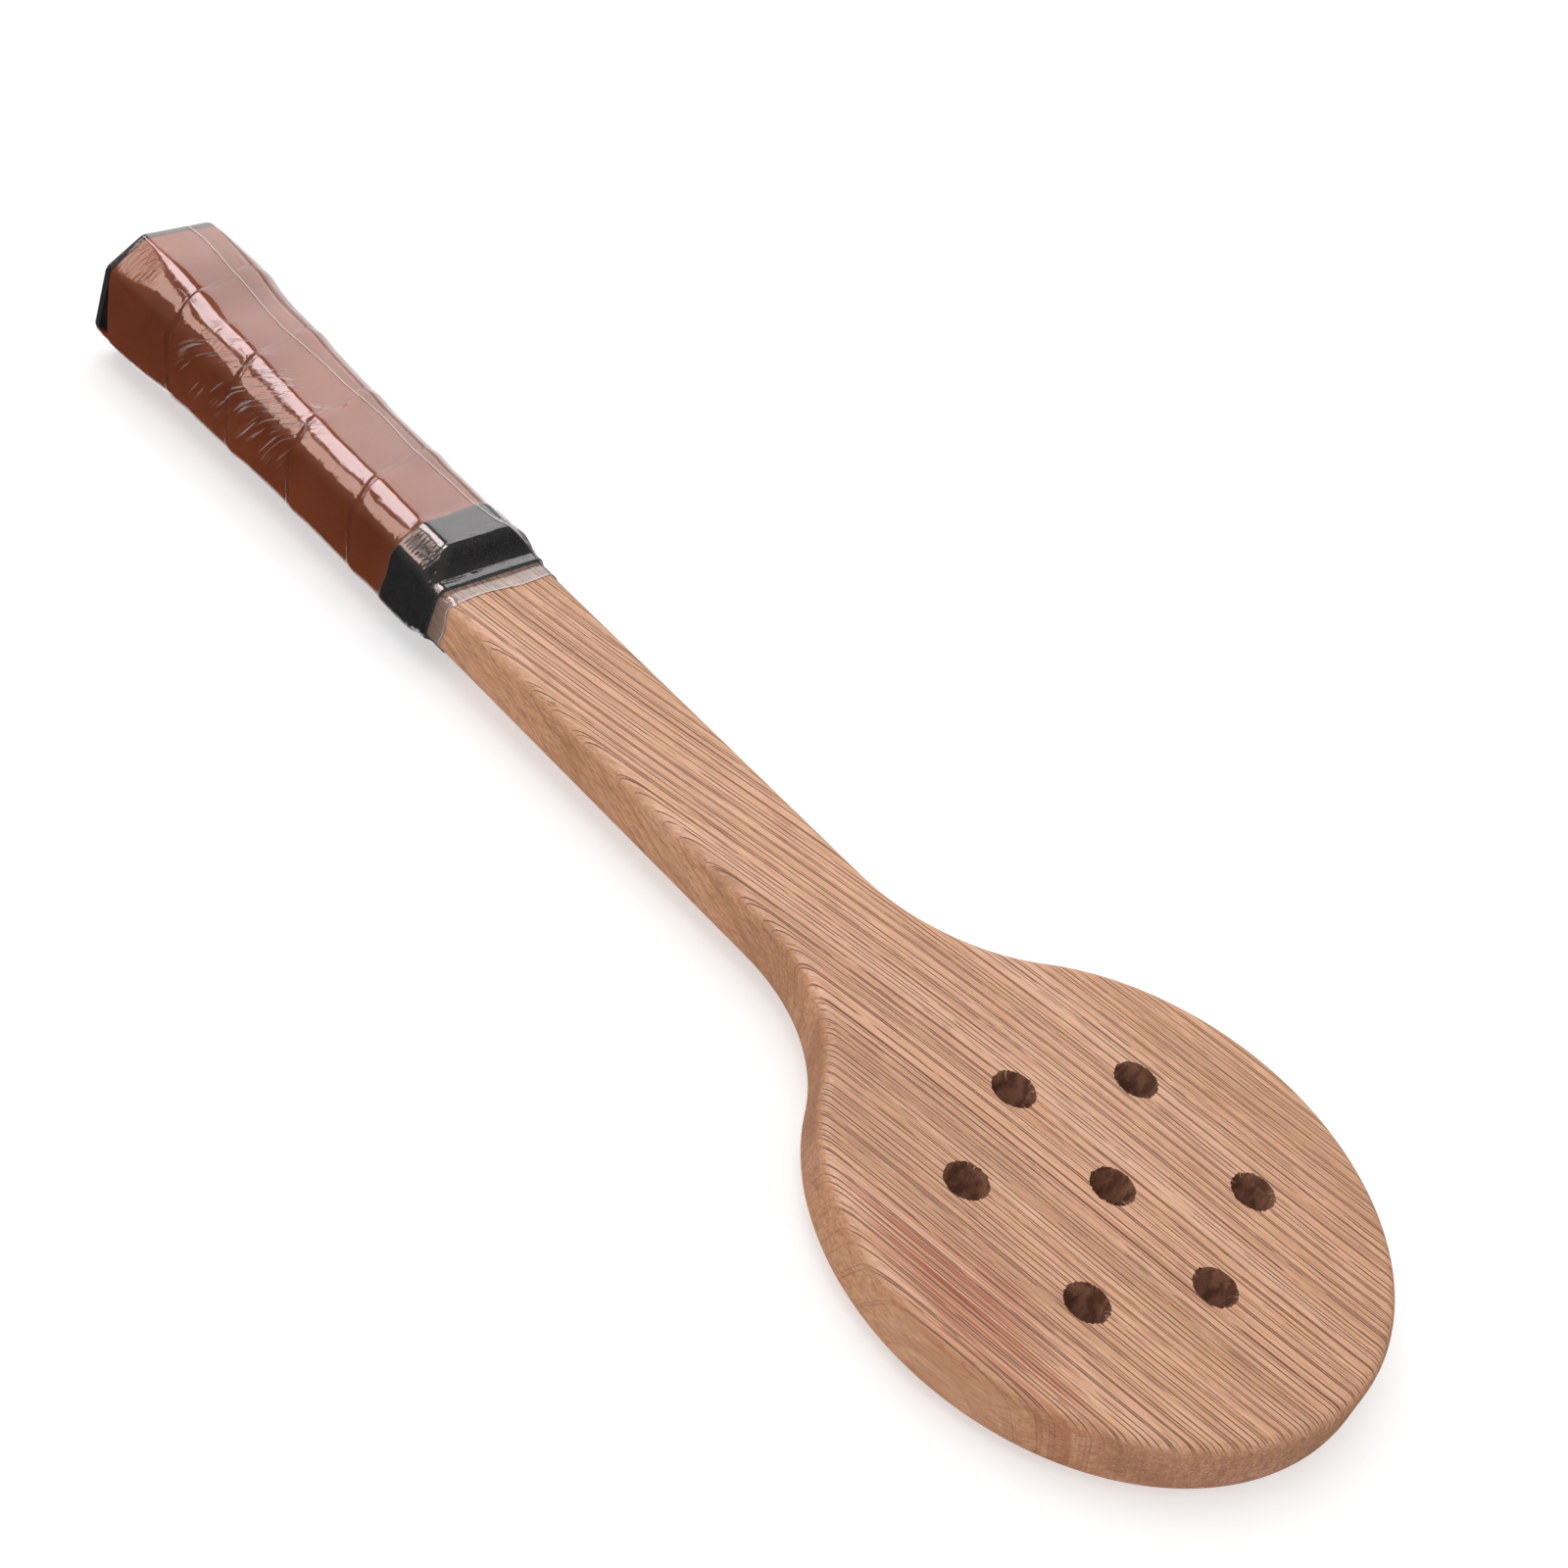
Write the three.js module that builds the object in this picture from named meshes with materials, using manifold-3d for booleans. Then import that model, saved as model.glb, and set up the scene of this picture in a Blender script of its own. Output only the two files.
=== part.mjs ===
// An oak trainer paddle: a round drilled head and a straight neck cut from one board, and an
// octagonal handle built up round the board's tang. From the wood outwards the handle is two
// cheeks, a stapled butt cap, an adhesive strip, a felt backing, a spiral band, a finishing
// tape at the top end and a clear film round the whole grip. Nothing on the paddle moves.
//
// Frame, in mm: +Y runs from the butt to the tip of the head and +Z points out of the front
// face. The origin is half way along the paddle, level with the underside of its handle.

import * as THREE from 'three';
import { mergeVertices } from 'three/addons/utils/BufferGeometryUtils.js';
import Module from 'manifold-3d';

const wasm = await Module();
wasm.setup();

// ---------------------------------------------------------------- driving dimensions

const OVERALL_LENGTH = 384;
const BUTT_Y = -OVERALL_LENGTH / 2;
const MID_Z = 16.6; // middle plane of both the board and the handle
const FIT_GAP = 0.2; // between one layer of the handle and the next

// The board. Its head is a slightly long circle, joined to the neck by one arc a side.
const BOARD_THICKNESS = 13.5;
const EDGE_RADIUS = 2.8;
const HEAD_HALF_WIDTH = 60;
const HEAD_HALF_LENGTH = 61.6;
const HEAD_Y = OVERALL_LENGTH / 2 - HEAD_HALF_LENGTH;
const NECK_HALF_WIDTH = 15.5;
const FILLET_ANGLE = THREE.MathUtils.degToRad(35.4); // where it leaves the head, from its lowest point
const SHOULDER = 118.6; // from the butt to the shoulder, where the neck narrows to the tang

// The seven through holes: one in the middle, one above and below it, two a side.
const HOLE_RADIUS = 4.85;
const HOLE_END_Y = 28;
const HOLE_SIDE_X = 27;
const HOLE_SIDE_Y = 16.5;

// Octagons across the handle: half sizes over the flats, and half the length of the top flat
// and of the side flat. The grip's outer surface runs from GRIP_SLIM to GRIP_FLARE, and the
// rim of the butt cap is flush with it.
const GRIP_SLIM = { width: 16, height: 12.3, topFlat: 8.9, sideFlat: 7.1 };
const GRIP_FLARE = { width: 18.6, height: 16.1, topFlat: 9.6, sideFlat: 8.5 };
const NECK_CORNER = EDGE_RADIUS * (2 - Math.SQRT2); // cut off by a bevel that touches the rounding
const NECK = {
  width: NECK_HALF_WIDTH,
  height: BOARD_THICKNESS / 2,
  topFlat: NECK_HALF_WIDTH - NECK_CORNER,
  sideFlat: BOARD_THICKNESS / 2 - NECK_CORNER,
};
const FLARE = { start: 12, length: 22, share: 0.67 }; // the steep part, by distance from the butt
const TAPER = { start: 34, length: 43, share: 0.33 }; // the gentle part above it

// Lengths along the handle, all from the butt end.
const RIM_LENGTH = 2.2;
const CAP_FLOOR = 3.2;
const SKIRT_END = 34;
const GRIP_START = RIM_LENGTH + FIT_GAP;
const GRIP_END = 118;
const TAPE_START = 109.5;
const TAPE_END = 126;
const FILM_START = 0.9;
const FILM_END = 131;
const STEP_LENGTH = 2.6; // over which the tape and the film step down on to the neck

// Depths below the grip's outer surface, and thicknesses above it.
const BAND_THICKNESS = 1.1;
const BACKING_THICKNESS = 0.9;
const ADHESIVE_THICKNESS = 0.2;
const TAPE_THICKNESS = 0.35;
const FILM_THICKNESS = 0.2;
const FILM_GAP = 0.3;
const BACKING_DEPTH = BAND_THICKNESS + FIT_GAP;
const ADHESIVE_DEPTH = BACKING_DEPTH + BACKING_THICKNESS + FIT_GAP;
const CORE_DEPTH = ADHESIVE_DEPTH + ADHESIVE_THICKNESS + FIT_GAP;

// The spiral. Each turn's lower edge is skived and laps over the edge of the turn before it.
const PITCH = 23.1;
const FIRST_SEAM = -0.9; // where the seam would meet the middle of the front flat, by the butt
const LAP = 1.2;
const SEAM_GAP = 0.3;
const TAIL_WIDTH = 3; // the band is cut to a taper and ends at this width
const ADHESIVE_WIDTH = 12;

const STAPLE = { span: 9, leg: 5.2, wire: 0.7, width: 1.2, fromButt: 12, clearance: 0.25 };
const RECESS = { inset: 4.5, depth: 0.8 };
const RIM_ROUND = 0.9;
const ROUND_MIDWAY = 1 - Math.SQRT1_2; // depth of a quarter round's middle, by its radius
const BOARD_CLEARANCE = 100; // half size of a cutting block, larger than any cross-section

// Fineness of the meshes.
const HEAD_STEPS = 72;
const FILLET_STEPS = 10;
const EDGE_STEPS = 3;
const HOLE_STEPS = 24;
const CORNER_STEPS = 1;
const CORNER_RADIUS = 1.6;
const BAND_ROWS = 5;
const ADHESIVE_ROWS = 2;
const SLEEVE_STEP = 4;
const STEP_ROWS = 4; // down the step on to the neck
const LEAST_ROW = 1; // a row this near to the next one is left out

// ---------------------------------------------------------------- materials

function material(color, roughness, metalness = 0) {
  return new THREE.MeshStandardMaterial({ color, roughness, metalness });
}

const OAK = material('#c08a5e', 0.62);
const OAK_CHEEK = material('#b98558', 0.7);
const BLACK_PLASTIC = material('#2b2c30', 0.45);
const STEEL = material('#b9bcc0', 0.35, 1);
const ADHESIVE = material('#e6e1cf', 0.5);
const FELT = material('#3a3330', 0.95);
const BROWN_BAND = material('#8a4a2c', 0.5);
const BLACK_TAPE = material('#1c1c1f', 0.25);
const CLEAR_FILM = material('#e9e4e2', 0.08);
CLEAR_FILM.transparent = true;
CLEAR_FILM.opacity = 0.25;

// ---------------------------------------------------------------- solids and skins

const lerp = THREE.MathUtils.lerp;
const smooth = (t) => THREE.MathUtils.smoothstep(t, 0, 1);

function toSolid(geometry) {
  const bare = geometry.clone();
  bare.deleteAttribute('normal');
  bare.deleteAttribute('uv');
  const merged = mergeVertices(bare, 1e-4);
  return new wasm.Manifold(
    new wasm.Mesh({
      numProp: 3,
      vertProperties: new Float32Array(merged.attributes.position.array),
      triVerts: new Uint32Array(merged.index.array),
    }),
  );
}

function toGeometry(solid) {
  const mesh = solid.getMesh();
  const geometry = new THREE.BufferGeometry();
  geometry.setAttribute('position', new THREE.BufferAttribute(mesh.vertProperties, 3));
  geometry.setIndex(new THREE.BufferAttribute(mesh.triVerts, 1));
  geometry.computeVertexNormals();
  return geometry;
}

// A block between two corners, for trimming.
function block(low, high) {
  const size = new THREE.Vector3().subVectors(high, low);
  const centre = new THREE.Vector3().addVectors(low, high).multiplyScalar(0.5);
  return toSolid(new THREE.BoxGeometry(size.x, size.y, size.z).translate(centre.x, centre.y, centre.z));
}

function signedVolume(points, index) {
  let volume = 0;
  for (let i = 0; i < index.length; i += 3) {
    const [a, b, c] = [points[index[i]], points[index[i + 1]], points[index[i + 2]]];
    volume += a.dot(new THREE.Vector3().crossVectors(b, c)) / 6;
  }
  return volume;
}

// Joins equal rings of points into one closed surface. The last ring is joined back to the
// first, which makes a sleeve, or both ends are capped, each cap a ladder across its ring.
function skin(rings, joined) {
  const count = rings[0].length;
  const points = rings.flat();
  const index = [];
  const quad = (a, b, c, d) => index.push(a, b, c, a, c, d);
  const lastBand = joined ? rings.length : rings.length - 1;
  for (let r = 0; r < lastBand; r += 1) {
    const here = r * count;
    const next = ((r + 1) % rings.length) * count;
    for (let k = 0; k < count; k += 1) {
      const ahead = (k + 1) % count;
      quad(here + k, here + ahead, next + ahead, next + k);
    }
  }
  if (!joined) {
    const end = (rings.length - 1) * count;
    for (let k = 0; k < count / 2 - 1; k += 1) {
      const across = count - 1 - k;
      quad(across, across - 1, k + 1, k);
      quad(end + k, end + k + 1, end + across - 1, end + across);
    }
  }
  if (signedVolume(points, index) < 0) index.reverse();
  const geometry = new THREE.BufferGeometry().setFromPoints(points);
  geometry.setIndex(index);
  geometry.computeVertexNormals();
  return geometry;
}

// ---------------------------------------------------------------- octagons

function blend(a, b, t) {
  return {
    width: lerp(a.width, b.width, t),
    height: lerp(a.height, b.height, t),
    topFlat: lerp(a.topFlat, b.topFlat, t),
    sideFlat: lerp(a.sideFlat, b.sideFlat, t),
  };
}

// The octagon whose every side is moved out by a distance.
function grow(octagon, distance) {
  const normal = new THREE.Vector2(octagon.height - octagon.sideFlat, octagon.width - octagon.topFlat);
  normal.normalize();
  const bevel = normal.x * octagon.topFlat + normal.y * octagon.height + distance;
  const width = octagon.width + distance;
  const height = octagon.height + distance;
  return {
    width,
    height,
    topFlat: (bevel - normal.y * height) / normal.x,
    sideFlat: (bevel - normal.x * width) / normal.y,
  };
}

// The rounded outline of an octagon at a height along the paddle. It starts at the front
// flat's +X corner and goes round by +X, the back and -X.
function outline(octagon, y, radius = CORNER_RADIUS) {
  const core = grow(octagon, -radius);
  const bevel = Math.atan2(octagon.height - octagon.sideFlat, octagon.width - octagon.topFlat);
  const top = [core.topFlat, core.height];
  const side = [core.width, core.sideFlat];
  const half = Math.PI / 2;
  const points = [];
  for (let quarter = 0; quarter < 4; quarter += 1) {
    const right = quarter < 2 ? 1 : -1;
    const up = quarter === 0 || quarter === 3 ? 1 : -1;
    const odd = quarter % 2 === 1;
    const turns = odd ? [0, half - bevel, half] : [0, bevel, half];
    const corners = odd ? [side, top] : [top, side];
    corners.forEach(([x, z], i) => {
      for (let step = 0; step <= CORNER_STEPS; step += 1) {
        const angle = quarter * half + lerp(turns[i], turns[i + 1], step / CORNER_STEPS);
        const px = right * x + radius * Math.sin(angle);
        const pz = up * z + radius * Math.cos(angle);
        points.push(new THREE.Vector3(px, y, MID_Z + pz));
      }
    });
  }
  return points;
}

// The grip's outer surface, and the surface that the tape and film follow, which also steps
// down on to the neck. Both take the distance from the butt.
function gripSection(fromButt) {
  const steep = FLARE.share * smooth((FLARE.start + FLARE.length - fromButt) / FLARE.length);
  const gentle = TAPER.share * smooth((TAPER.start + TAPER.length - fromButt) / TAPER.length);
  return blend(GRIP_SLIM, GRIP_FLARE, steep + gentle);
}

function wrapSection(fromButt) {
  return blend(gripSection(fromButt), NECK, smooth((fromButt - SHOULDER) / STEP_LENGTH));
}

// ---------------------------------------------------------------- the board

// A point on the head's edge, and the way out of it, by its angle from the head's lowest point.
function headPoint(angle) {
  const sin = Math.sin(angle);
  const cos = Math.cos(angle);
  return {
    point: new THREE.Vector2(HEAD_HALF_WIDTH * sin, HEAD_Y - HEAD_HALF_LENGTH * cos),
    normal: new THREE.Vector2(HEAD_HALF_LENGTH * sin, -HEAD_HALF_WIDTH * cos).normalize(),
  };
}

// Up the neck, round the fillet arc that touches both the neck and the head, and round the
// head to its tip; then the same on the other side.
function bladeOutline() {
  const touch = headPoint(FILLET_ANGLE);
  const radius = (touch.point.x - NECK_HALF_WIDTH) / (1 - touch.normal.x);
  const centre = touch.point.clone().addScaledVector(touch.normal, radius);
  const sweep = Math.atan2(-touch.normal.y, touch.normal.x);
  const right = [new THREE.Vector2(NECK_HALF_WIDTH, BUTT_Y + SHOULDER - 2 * EDGE_RADIUS)];
  for (let i = 0; i < FILLET_STEPS; i += 1) {
    const angle = Math.PI - (sweep * i) / FILLET_STEPS;
    const x = centre.x + radius * Math.cos(angle);
    right.push(new THREE.Vector2(x, centre.y + radius * Math.sin(angle)));
  }
  const half = HEAD_STEPS / 2;
  for (let i = 0; i < half; i += 1) {
    right.push(headPoint(lerp(FILLET_ANGLE, Math.PI, i / half)).point);
  }
  const left = right.map((p) => new THREE.Vector2(-p.x, p.y)).reverse();
  return new THREE.Shape([...right, headPoint(Math.PI).point, ...left]);
}

function holeCentres() {
  const sides = [-1, 1].flatMap((x) => [-1, 1].map((y) => [x * HOLE_SIDE_X, y * HOLE_SIDE_Y]));
  return [[0, 0], [0, HOLE_END_Y], [0, -HOLE_END_Y], ...sides];
}

// The octagonal core of the handle: the tang and both cheeks are slices of it.
function handleCore(start, end, growth = 0) {
  const octagon = grow(GRIP_SLIM, growth - CORE_DEPTH);
  return toSolid(skin([outline(octagon, BUTT_Y + start), outline(octagon, BUTT_Y + end)], false));
}

function slab(bottom, top, startY = -OVERALL_LENGTH) {
  return block(
    new THREE.Vector3(-BOARD_CLEARANCE, startY, MID_Z + bottom),
    new THREE.Vector3(BOARD_CLEARANCE, OVERALL_LENGTH, MID_Z + top),
  );
}

function oakBlade(staples) {
  const half = BOARD_THICKNESS / 2;
  const board = new THREE.ExtrudeGeometry(bladeOutline(), {
    depth: BOARD_THICKNESS - 2 * EDGE_RADIUS,
    bevelEnabled: true,
    bevelSize: EDGE_RADIUS,
    bevelThickness: EDGE_RADIUS,
    bevelOffset: -EDGE_RADIUS,
    bevelSegments: EDGE_STEPS,
    steps: 1,
  });
  board.translate(0, 0, MID_Z - half + EDGE_RADIUS);
  const tang = handleCore(CAP_FLOOR + FIT_GAP, SHOULDER + EDGE_RADIUS).intersect(slab(-half, half));
  let blade = toSolid(board).intersect(slab(-half, half, BUTT_Y + SHOULDER)).add(tang);
  for (const [x, y] of holeCentres()) {
    const drill = new THREE.CylinderGeometry(HOLE_RADIUS, HOLE_RADIUS, 2 * BOARD_THICKNESS, HOLE_STEPS);
    drill.rotateX(Math.PI / 2).translate(x, HEAD_Y + y, MID_Z);
    blade = blade.subtract(toSolid(drill));
  }
  for (const staple of staples) blade = blade.subtract(staple);
  return toGeometry(blade);
}

// One cheek is the slice of the core in front of the board, the other the slice behind it.
function cheek(side) {
  const inner = side * (BOARD_THICKNESS / 2 + FIT_GAP);
  const outer = side * BOARD_CLEARANCE;
  const slice = slab(Math.min(inner, outer), Math.max(inner, outer));
  return toGeometry(handleCore(CAP_FLOOR + FIT_GAP, SHOULDER - FIT_GAP).intersect(slice));
}

// ---------------------------------------------------------------- the butt cap

function buttCap(staples) {
  const rimRing = (fromButt, growth) => outline(grow(GRIP_FLARE, growth), BUTT_Y + fromButt);
  const skirtRing = (fromButt) => outline(grow(gripSection(fromButt), -CORE_DEPTH), BUTT_Y + fromButt);
  const rim = [
    rimRing(0, -RIM_ROUND),
    rimRing(RIM_ROUND * ROUND_MIDWAY, -RIM_ROUND * ROUND_MIDWAY),
    rimRing(RIM_ROUND, 0),
    rimRing(RIM_LENGTH, 0),
  ];
  const skirt = [];
  for (let fromButt = RIM_LENGTH; fromButt < SKIRT_END; fromButt += SLEEVE_STEP) {
    skirt.push(skirtRing(fromButt));
  }
  skirt.push(skirtRing(SKIRT_END));
  const recess = [-RECESS.depth, RECESS.depth].map((fromButt) => rimRing(fromButt, -RECESS.inset));
  let cap = toSolid(skin([...rim, ...skirt], false));
  cap = cap.subtract(handleCore(CAP_FLOOR, SKIRT_END + SLEEVE_STEP, FIT_GAP));
  cap = cap.subtract(toSolid(skin(recess, false)));
  for (const staple of staples) cap = cap.subtract(staple);
  return toGeometry(cap);
}

// A staple driven through the cap's skirt into the edge of the tang, its crown across the
// board. A grown copy cuts the room for it.
function staple(side, growth = 0) {
  const skirt = grow(gripSection(STAPLE.fromButt), -CORE_DEPTH).width;
  const crown = skirt - 2 * FIT_GAP + growth;
  const inside = crown - STAPLE.wire - 2 * growth;
  const tip = crown - STAPLE.wire - STAPLE.leg - growth;
  const far = STAPLE.span / 2 + growth;
  const near = STAPLE.span / 2 - STAPLE.wire - growth;
  const shape = new THREE.Shape();
  shape.moveTo(tip, -far);
  shape.lineTo(growth > 0 ? crown + STAPLE.wire : crown, -far);
  shape.lineTo(growth > 0 ? crown + STAPLE.wire : crown, far);
  shape.lineTo(tip, far);
  shape.lineTo(tip, near);
  shape.lineTo(inside, near);
  shape.lineTo(inside, -near);
  shape.lineTo(tip, -near);
  const width = STAPLE.width + 2 * growth;
  const wire = new THREE.ExtrudeGeometry(shape, { depth: width, bevelEnabled: false });
  wire.rotateX(Math.PI / 2).translate(0, BUTT_Y + STAPLE.fromButt + width / 2, MID_Z);
  return side > 0 ? wire : wire.rotateY(Math.PI).translate(0, 0, 2 * MID_Z);
}

// ---------------------------------------------------------------- the grip

// How far round the handle each point of an outline lies, from the middle of the front flat.
function shareRound() {
  const points = outline(GRIP_SLIM, 0);
  const last = points.length - 1;
  const lengths = points.map((p, i) => (i === 0 ? p.x : p.distanceTo(points[i - 1])));
  const total = lengths.reduce((sum, length) => sum + length, 0) + Math.abs(points[last].x);
  let reached = 0;
  return lengths.map((length) => {
    reached += length;
    return reached / total;
  });
}

const SHARES = shareRound();
const seam = (turns) => FIRST_SEAM + PITCH * turns;
const clampToGrip = (fromButt) => THREE.MathUtils.clamp(fromButt, GRIP_START, GRIP_END);

// A strip wound round the handle. edges(turns) gives its outer and inner lower and upper
// edges, as distances from the butt, and depths are measured below the grip's surface.
// rows is the number of steps across its width.
function windStrip(edges, outerDepth, innerDepth, firstTurn, lastTurn, rows = BAND_ROWS) {
  const rings = [];
  for (let turn = Math.floor(firstTurn); turn <= lastTurn; turn += 1) {
    SHARES.forEach((share, corner) => {
      const turns = turn + share;
      if (turns < firstTurn || turns > lastTurn) return;
      const { outer, inner } = edges(turns);
      const row = (span, depth, k) => {
        const fromButt = lerp(span[0], span[1], k / rows);
        return outline(grow(gripSection(fromButt), -depth), BUTT_Y + fromButt)[corner];
      };
      const ring = [];
      for (let k = 0; k <= rows; k += 1) ring.push(row(outer, outerDepth, k));
      for (let k = rows; k >= 0; k -= 1) ring.push(row(inner, innerDepth, k));
      rings.push(ring);
    });
  }
  return skin(rings, false);
}

const FIRST_TURN = (GRIP_START + LAP + TAIL_WIDTH + SEAM_GAP - FIRST_SEAM) / PITCH - 1;
const LAST_TURN = (GRIP_END - TAIL_WIDTH - FIRST_SEAM) / PITCH;

// The skived edges of the band and its backing: a depth below the surface moves them up by
// the same share of the lap.
function gripLayer(outerDepth, innerDepth) {
  const shift = (depth) => LAP * (depth / (BACKING_DEPTH + BACKING_THICKNESS) - 1);
  const span = (turns, depth) => [
    clampToGrip(seam(turns) + shift(depth)),
    clampToGrip(seam(turns + 1) - SEAM_GAP + shift(depth)),
  ];
  const edges = (turns) => ({ outer: span(turns, outerDepth), inner: span(turns, innerDepth) });
  return windStrip(edges, outerDepth, innerDepth, FIRST_TURN, LAST_TURN);
}

function gripAdhesive() {
  const edges = (turns) => {
    const middle = (seam(turns) + seam(turns + 1)) / 2;
    const span = [clampToGrip(middle - ADHESIVE_WIDTH / 2), clampToGrip(middle + ADHESIVE_WIDTH / 2)];
    return { outer: span, inner: span };
  };
  const inside = (ADHESIVE_WIDTH - PITCH) / 2 - TAIL_WIDTH;
  const first = (GRIP_START - FIRST_SEAM - inside) / PITCH - 1;
  const last = (GRIP_END - FIRST_SEAM + inside) / PITCH;
  const innerDepth = ADHESIVE_DEPTH + ADHESIVE_THICKNESS;
  return windStrip(edges, ADHESIVE_DEPTH, innerDepth, first, last, ADHESIVE_ROWS);
}

// ---------------------------------------------------------------- tape and film

// A sleeve over the grip and the neck. rise(fromButt) is the height of its inner face above
// the surface it follows.
function sleeve(start, end, thickness, rise) {
  const stops = [];
  const addStops = (first, last) => {
    for (let fromButt = first; fromButt < last - LEAST_ROW; fromButt += SLEEVE_STEP) {
      stops.push(fromButt);
    }
  };
  addStops(start, SHOULDER);
  for (let row = 0; row <= STEP_ROWS; row += 1) {
    stops.push(SHOULDER + (STEP_LENGTH * row) / STEP_ROWS);
  }
  addStops(SHOULDER + STEP_LENGTH + SLEEVE_STEP, end);
  stops.push(end);
  const ringAt = (fromButt, extra) => {
    const octagon = grow(wrapSection(fromButt), rise(fromButt) + extra);
    const onNeck = smooth((fromButt - SHOULDER) / STEP_LENGTH);
    return outline(octagon, BUTT_Y + fromButt, lerp(CORNER_RADIUS, EDGE_RADIUS, onNeck));
  };
  const outer = stops.map((fromButt) => ringAt(fromButt, thickness));
  const inner = stops.map((fromButt) => ringAt(fromButt, 0)).reverse();
  return skin([...outer, ...inner], true);
}

function finishingTape() {
  return sleeve(TAPE_START, TAPE_END, TAPE_THICKNESS, () => FIT_GAP);
}

function filmWrap() {
  const overTape = 2 * FIT_GAP + TAPE_THICKNESS;
  const rise = (fromButt) => {
    const up = smooth((fromButt - TAPE_START) / SLEEVE_STEP + 2);
    const down = smooth((FILM_END - fromButt) / (FILM_END - TAPE_END - SLEEVE_STEP));
    return lerp(FILM_GAP, overTape, Math.min(up, down));
  };
  return sleeve(FILM_START, FILM_END, FILM_THICKNESS, rise);
}

// ---------------------------------------------------------------- assembly

const paddle = new THREE.Group();

function addPiece(name, geometry, look) {
  const mesh = new THREE.Mesh(geometry, look);
  mesh.name = name;
  paddle.add(mesh);
}

const SIDES = [
  { name: 'left', sign: -1 },
  { name: 'right', sign: 1 },
];
const stapleRoom = SIDES.map(({ sign }) => toSolid(staple(sign, STAPLE.clearance)));

addPiece('oak_blade', oakBlade(stapleRoom), OAK);
addPiece('handle_cheek_front', cheek(1), OAK_CHEEK);
addPiece('handle_cheek_back', cheek(-1), OAK_CHEEK);
addPiece('butt_cap', buttCap(stapleRoom), BLACK_PLASTIC);
for (const { name, sign } of SIDES) addPiece(`cap_staple_${name}`, staple(sign), STEEL);
addPiece('grip_adhesive', gripAdhesive(), ADHESIVE);
addPiece('grip_backing', gripLayer(BACKING_DEPTH, BACKING_DEPTH + BACKING_THICKNESS), FELT);
addPiece('grip_band', gripLayer(0, BAND_THICKNESS), BROWN_BAND);
addPiece('finishing_tape', finishingTape(), BLACK_TAPE);
addPiece('film_wrap', filmWrap(), CLEAR_FILM);

export default paddle;
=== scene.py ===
"""Looks of the oak trainer paddle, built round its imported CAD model.

Lengths are in mm in the row frame until a mesh is made, when they become metres. The handle's
layers follow the same octagons as the CAD, by the distance from the butt (here "reach") and by
the share of the way round the handle, from the middle of the front flat towards +X.
"""

import math
import bpy
import numpy as np
from mathutils import Matrix, Vector, noise
from mathutils.geometry import delaunay_2d_cdt

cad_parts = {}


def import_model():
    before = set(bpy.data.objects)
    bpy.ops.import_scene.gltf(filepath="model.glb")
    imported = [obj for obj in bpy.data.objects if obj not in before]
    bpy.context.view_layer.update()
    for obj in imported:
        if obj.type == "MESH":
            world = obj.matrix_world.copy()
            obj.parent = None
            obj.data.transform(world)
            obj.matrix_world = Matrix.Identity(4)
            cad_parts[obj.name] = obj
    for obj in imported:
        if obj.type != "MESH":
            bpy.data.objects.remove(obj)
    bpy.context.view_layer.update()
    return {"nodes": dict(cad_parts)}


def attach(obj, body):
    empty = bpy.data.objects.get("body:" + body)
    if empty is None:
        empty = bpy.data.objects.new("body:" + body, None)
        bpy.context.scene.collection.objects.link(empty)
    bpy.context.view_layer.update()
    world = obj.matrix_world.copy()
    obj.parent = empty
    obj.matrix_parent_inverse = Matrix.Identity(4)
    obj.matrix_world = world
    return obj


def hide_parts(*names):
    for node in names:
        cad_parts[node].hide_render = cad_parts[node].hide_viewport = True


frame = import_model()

MM = 0.001

# ---------------------------------------------------------------- dimensions, in mm, mostly the CAD's

BUTT_Y = -192.0
MID_Z = 16.6
HALF_BOARD = 6.75
EDGE_RADIUS = 2.8
HEAD_HALF_WIDTH = 60.0
HEAD_HALF_LENGTH = 61.6
HEAD_Y = 130.4
NECK_HALF_WIDTH = 15.5
TANG_HALF_WIDTH = 13.1
FILLET_ANGLE = math.radians(35.4)
SHOULDER = 118.6
STEP_LENGTH = 5.0  # longer than the CAD's, because the soft layers bridge the shoulder
HOLE_RADIUS = 4.85
HOLES = [(0, 0), (0, 28), (0, -28), (-27, -16.5), (-27, 16.5), (27, -16.5), (27, 16.5)]
# Octagons: half width, half height, half the top flat, half the side flat.
SLIM = (16.0, 12.3, 8.9, 7.1)
FLARE = (18.6, 16.1, 9.6, 8.5)
NECK_CORNER = EDGE_RADIUS * (2 - math.sqrt(2))
NECK = (NECK_HALF_WIDTH, HALF_BOARD, NECK_HALF_WIDTH - NECK_CORNER, HALF_BOARD - NECK_CORNER)
CORNER_RADIUS = 1.6
GRIP_START, GRIP_END = 2.4, 118.0
TAPE_START, TAPE_END = 109.5, 126.0
FILM_START, FILM_END = 0.9, 131.0
BAND_THICKNESS = 1.1
PITCH = 23.1
FIRST_SEAM = -0.9
LAP = 1.2
FACE_Z = MID_Z + HALF_BOARD
# The soft layers' corners are rounder than the CAD's: at the cap, then more along the flare,
# and less again where the handle is slim.
CAP_CORNER, FLARE_ADDS, SLIM_TAKES = 1.8, 4.6, 2.2
FILM_LAP = 3.2
FILM_FINE_FROM = 108.6  # the film's rows are closer together from here on
ROUND_COLUMNS = 320
WHITE = (1.0, 1.0, 1.0)
FINE_RELIEF = 0.05  # of leather, moulded plastic and the hidden layers
FILM_IOR = 1.65

# ---------------------------------------------------------------- sums on arrays


def smooth(t):
    t = np.clip(t, 0.0, 1.0)
    return t * t * (3 - 2 * t)


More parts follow.
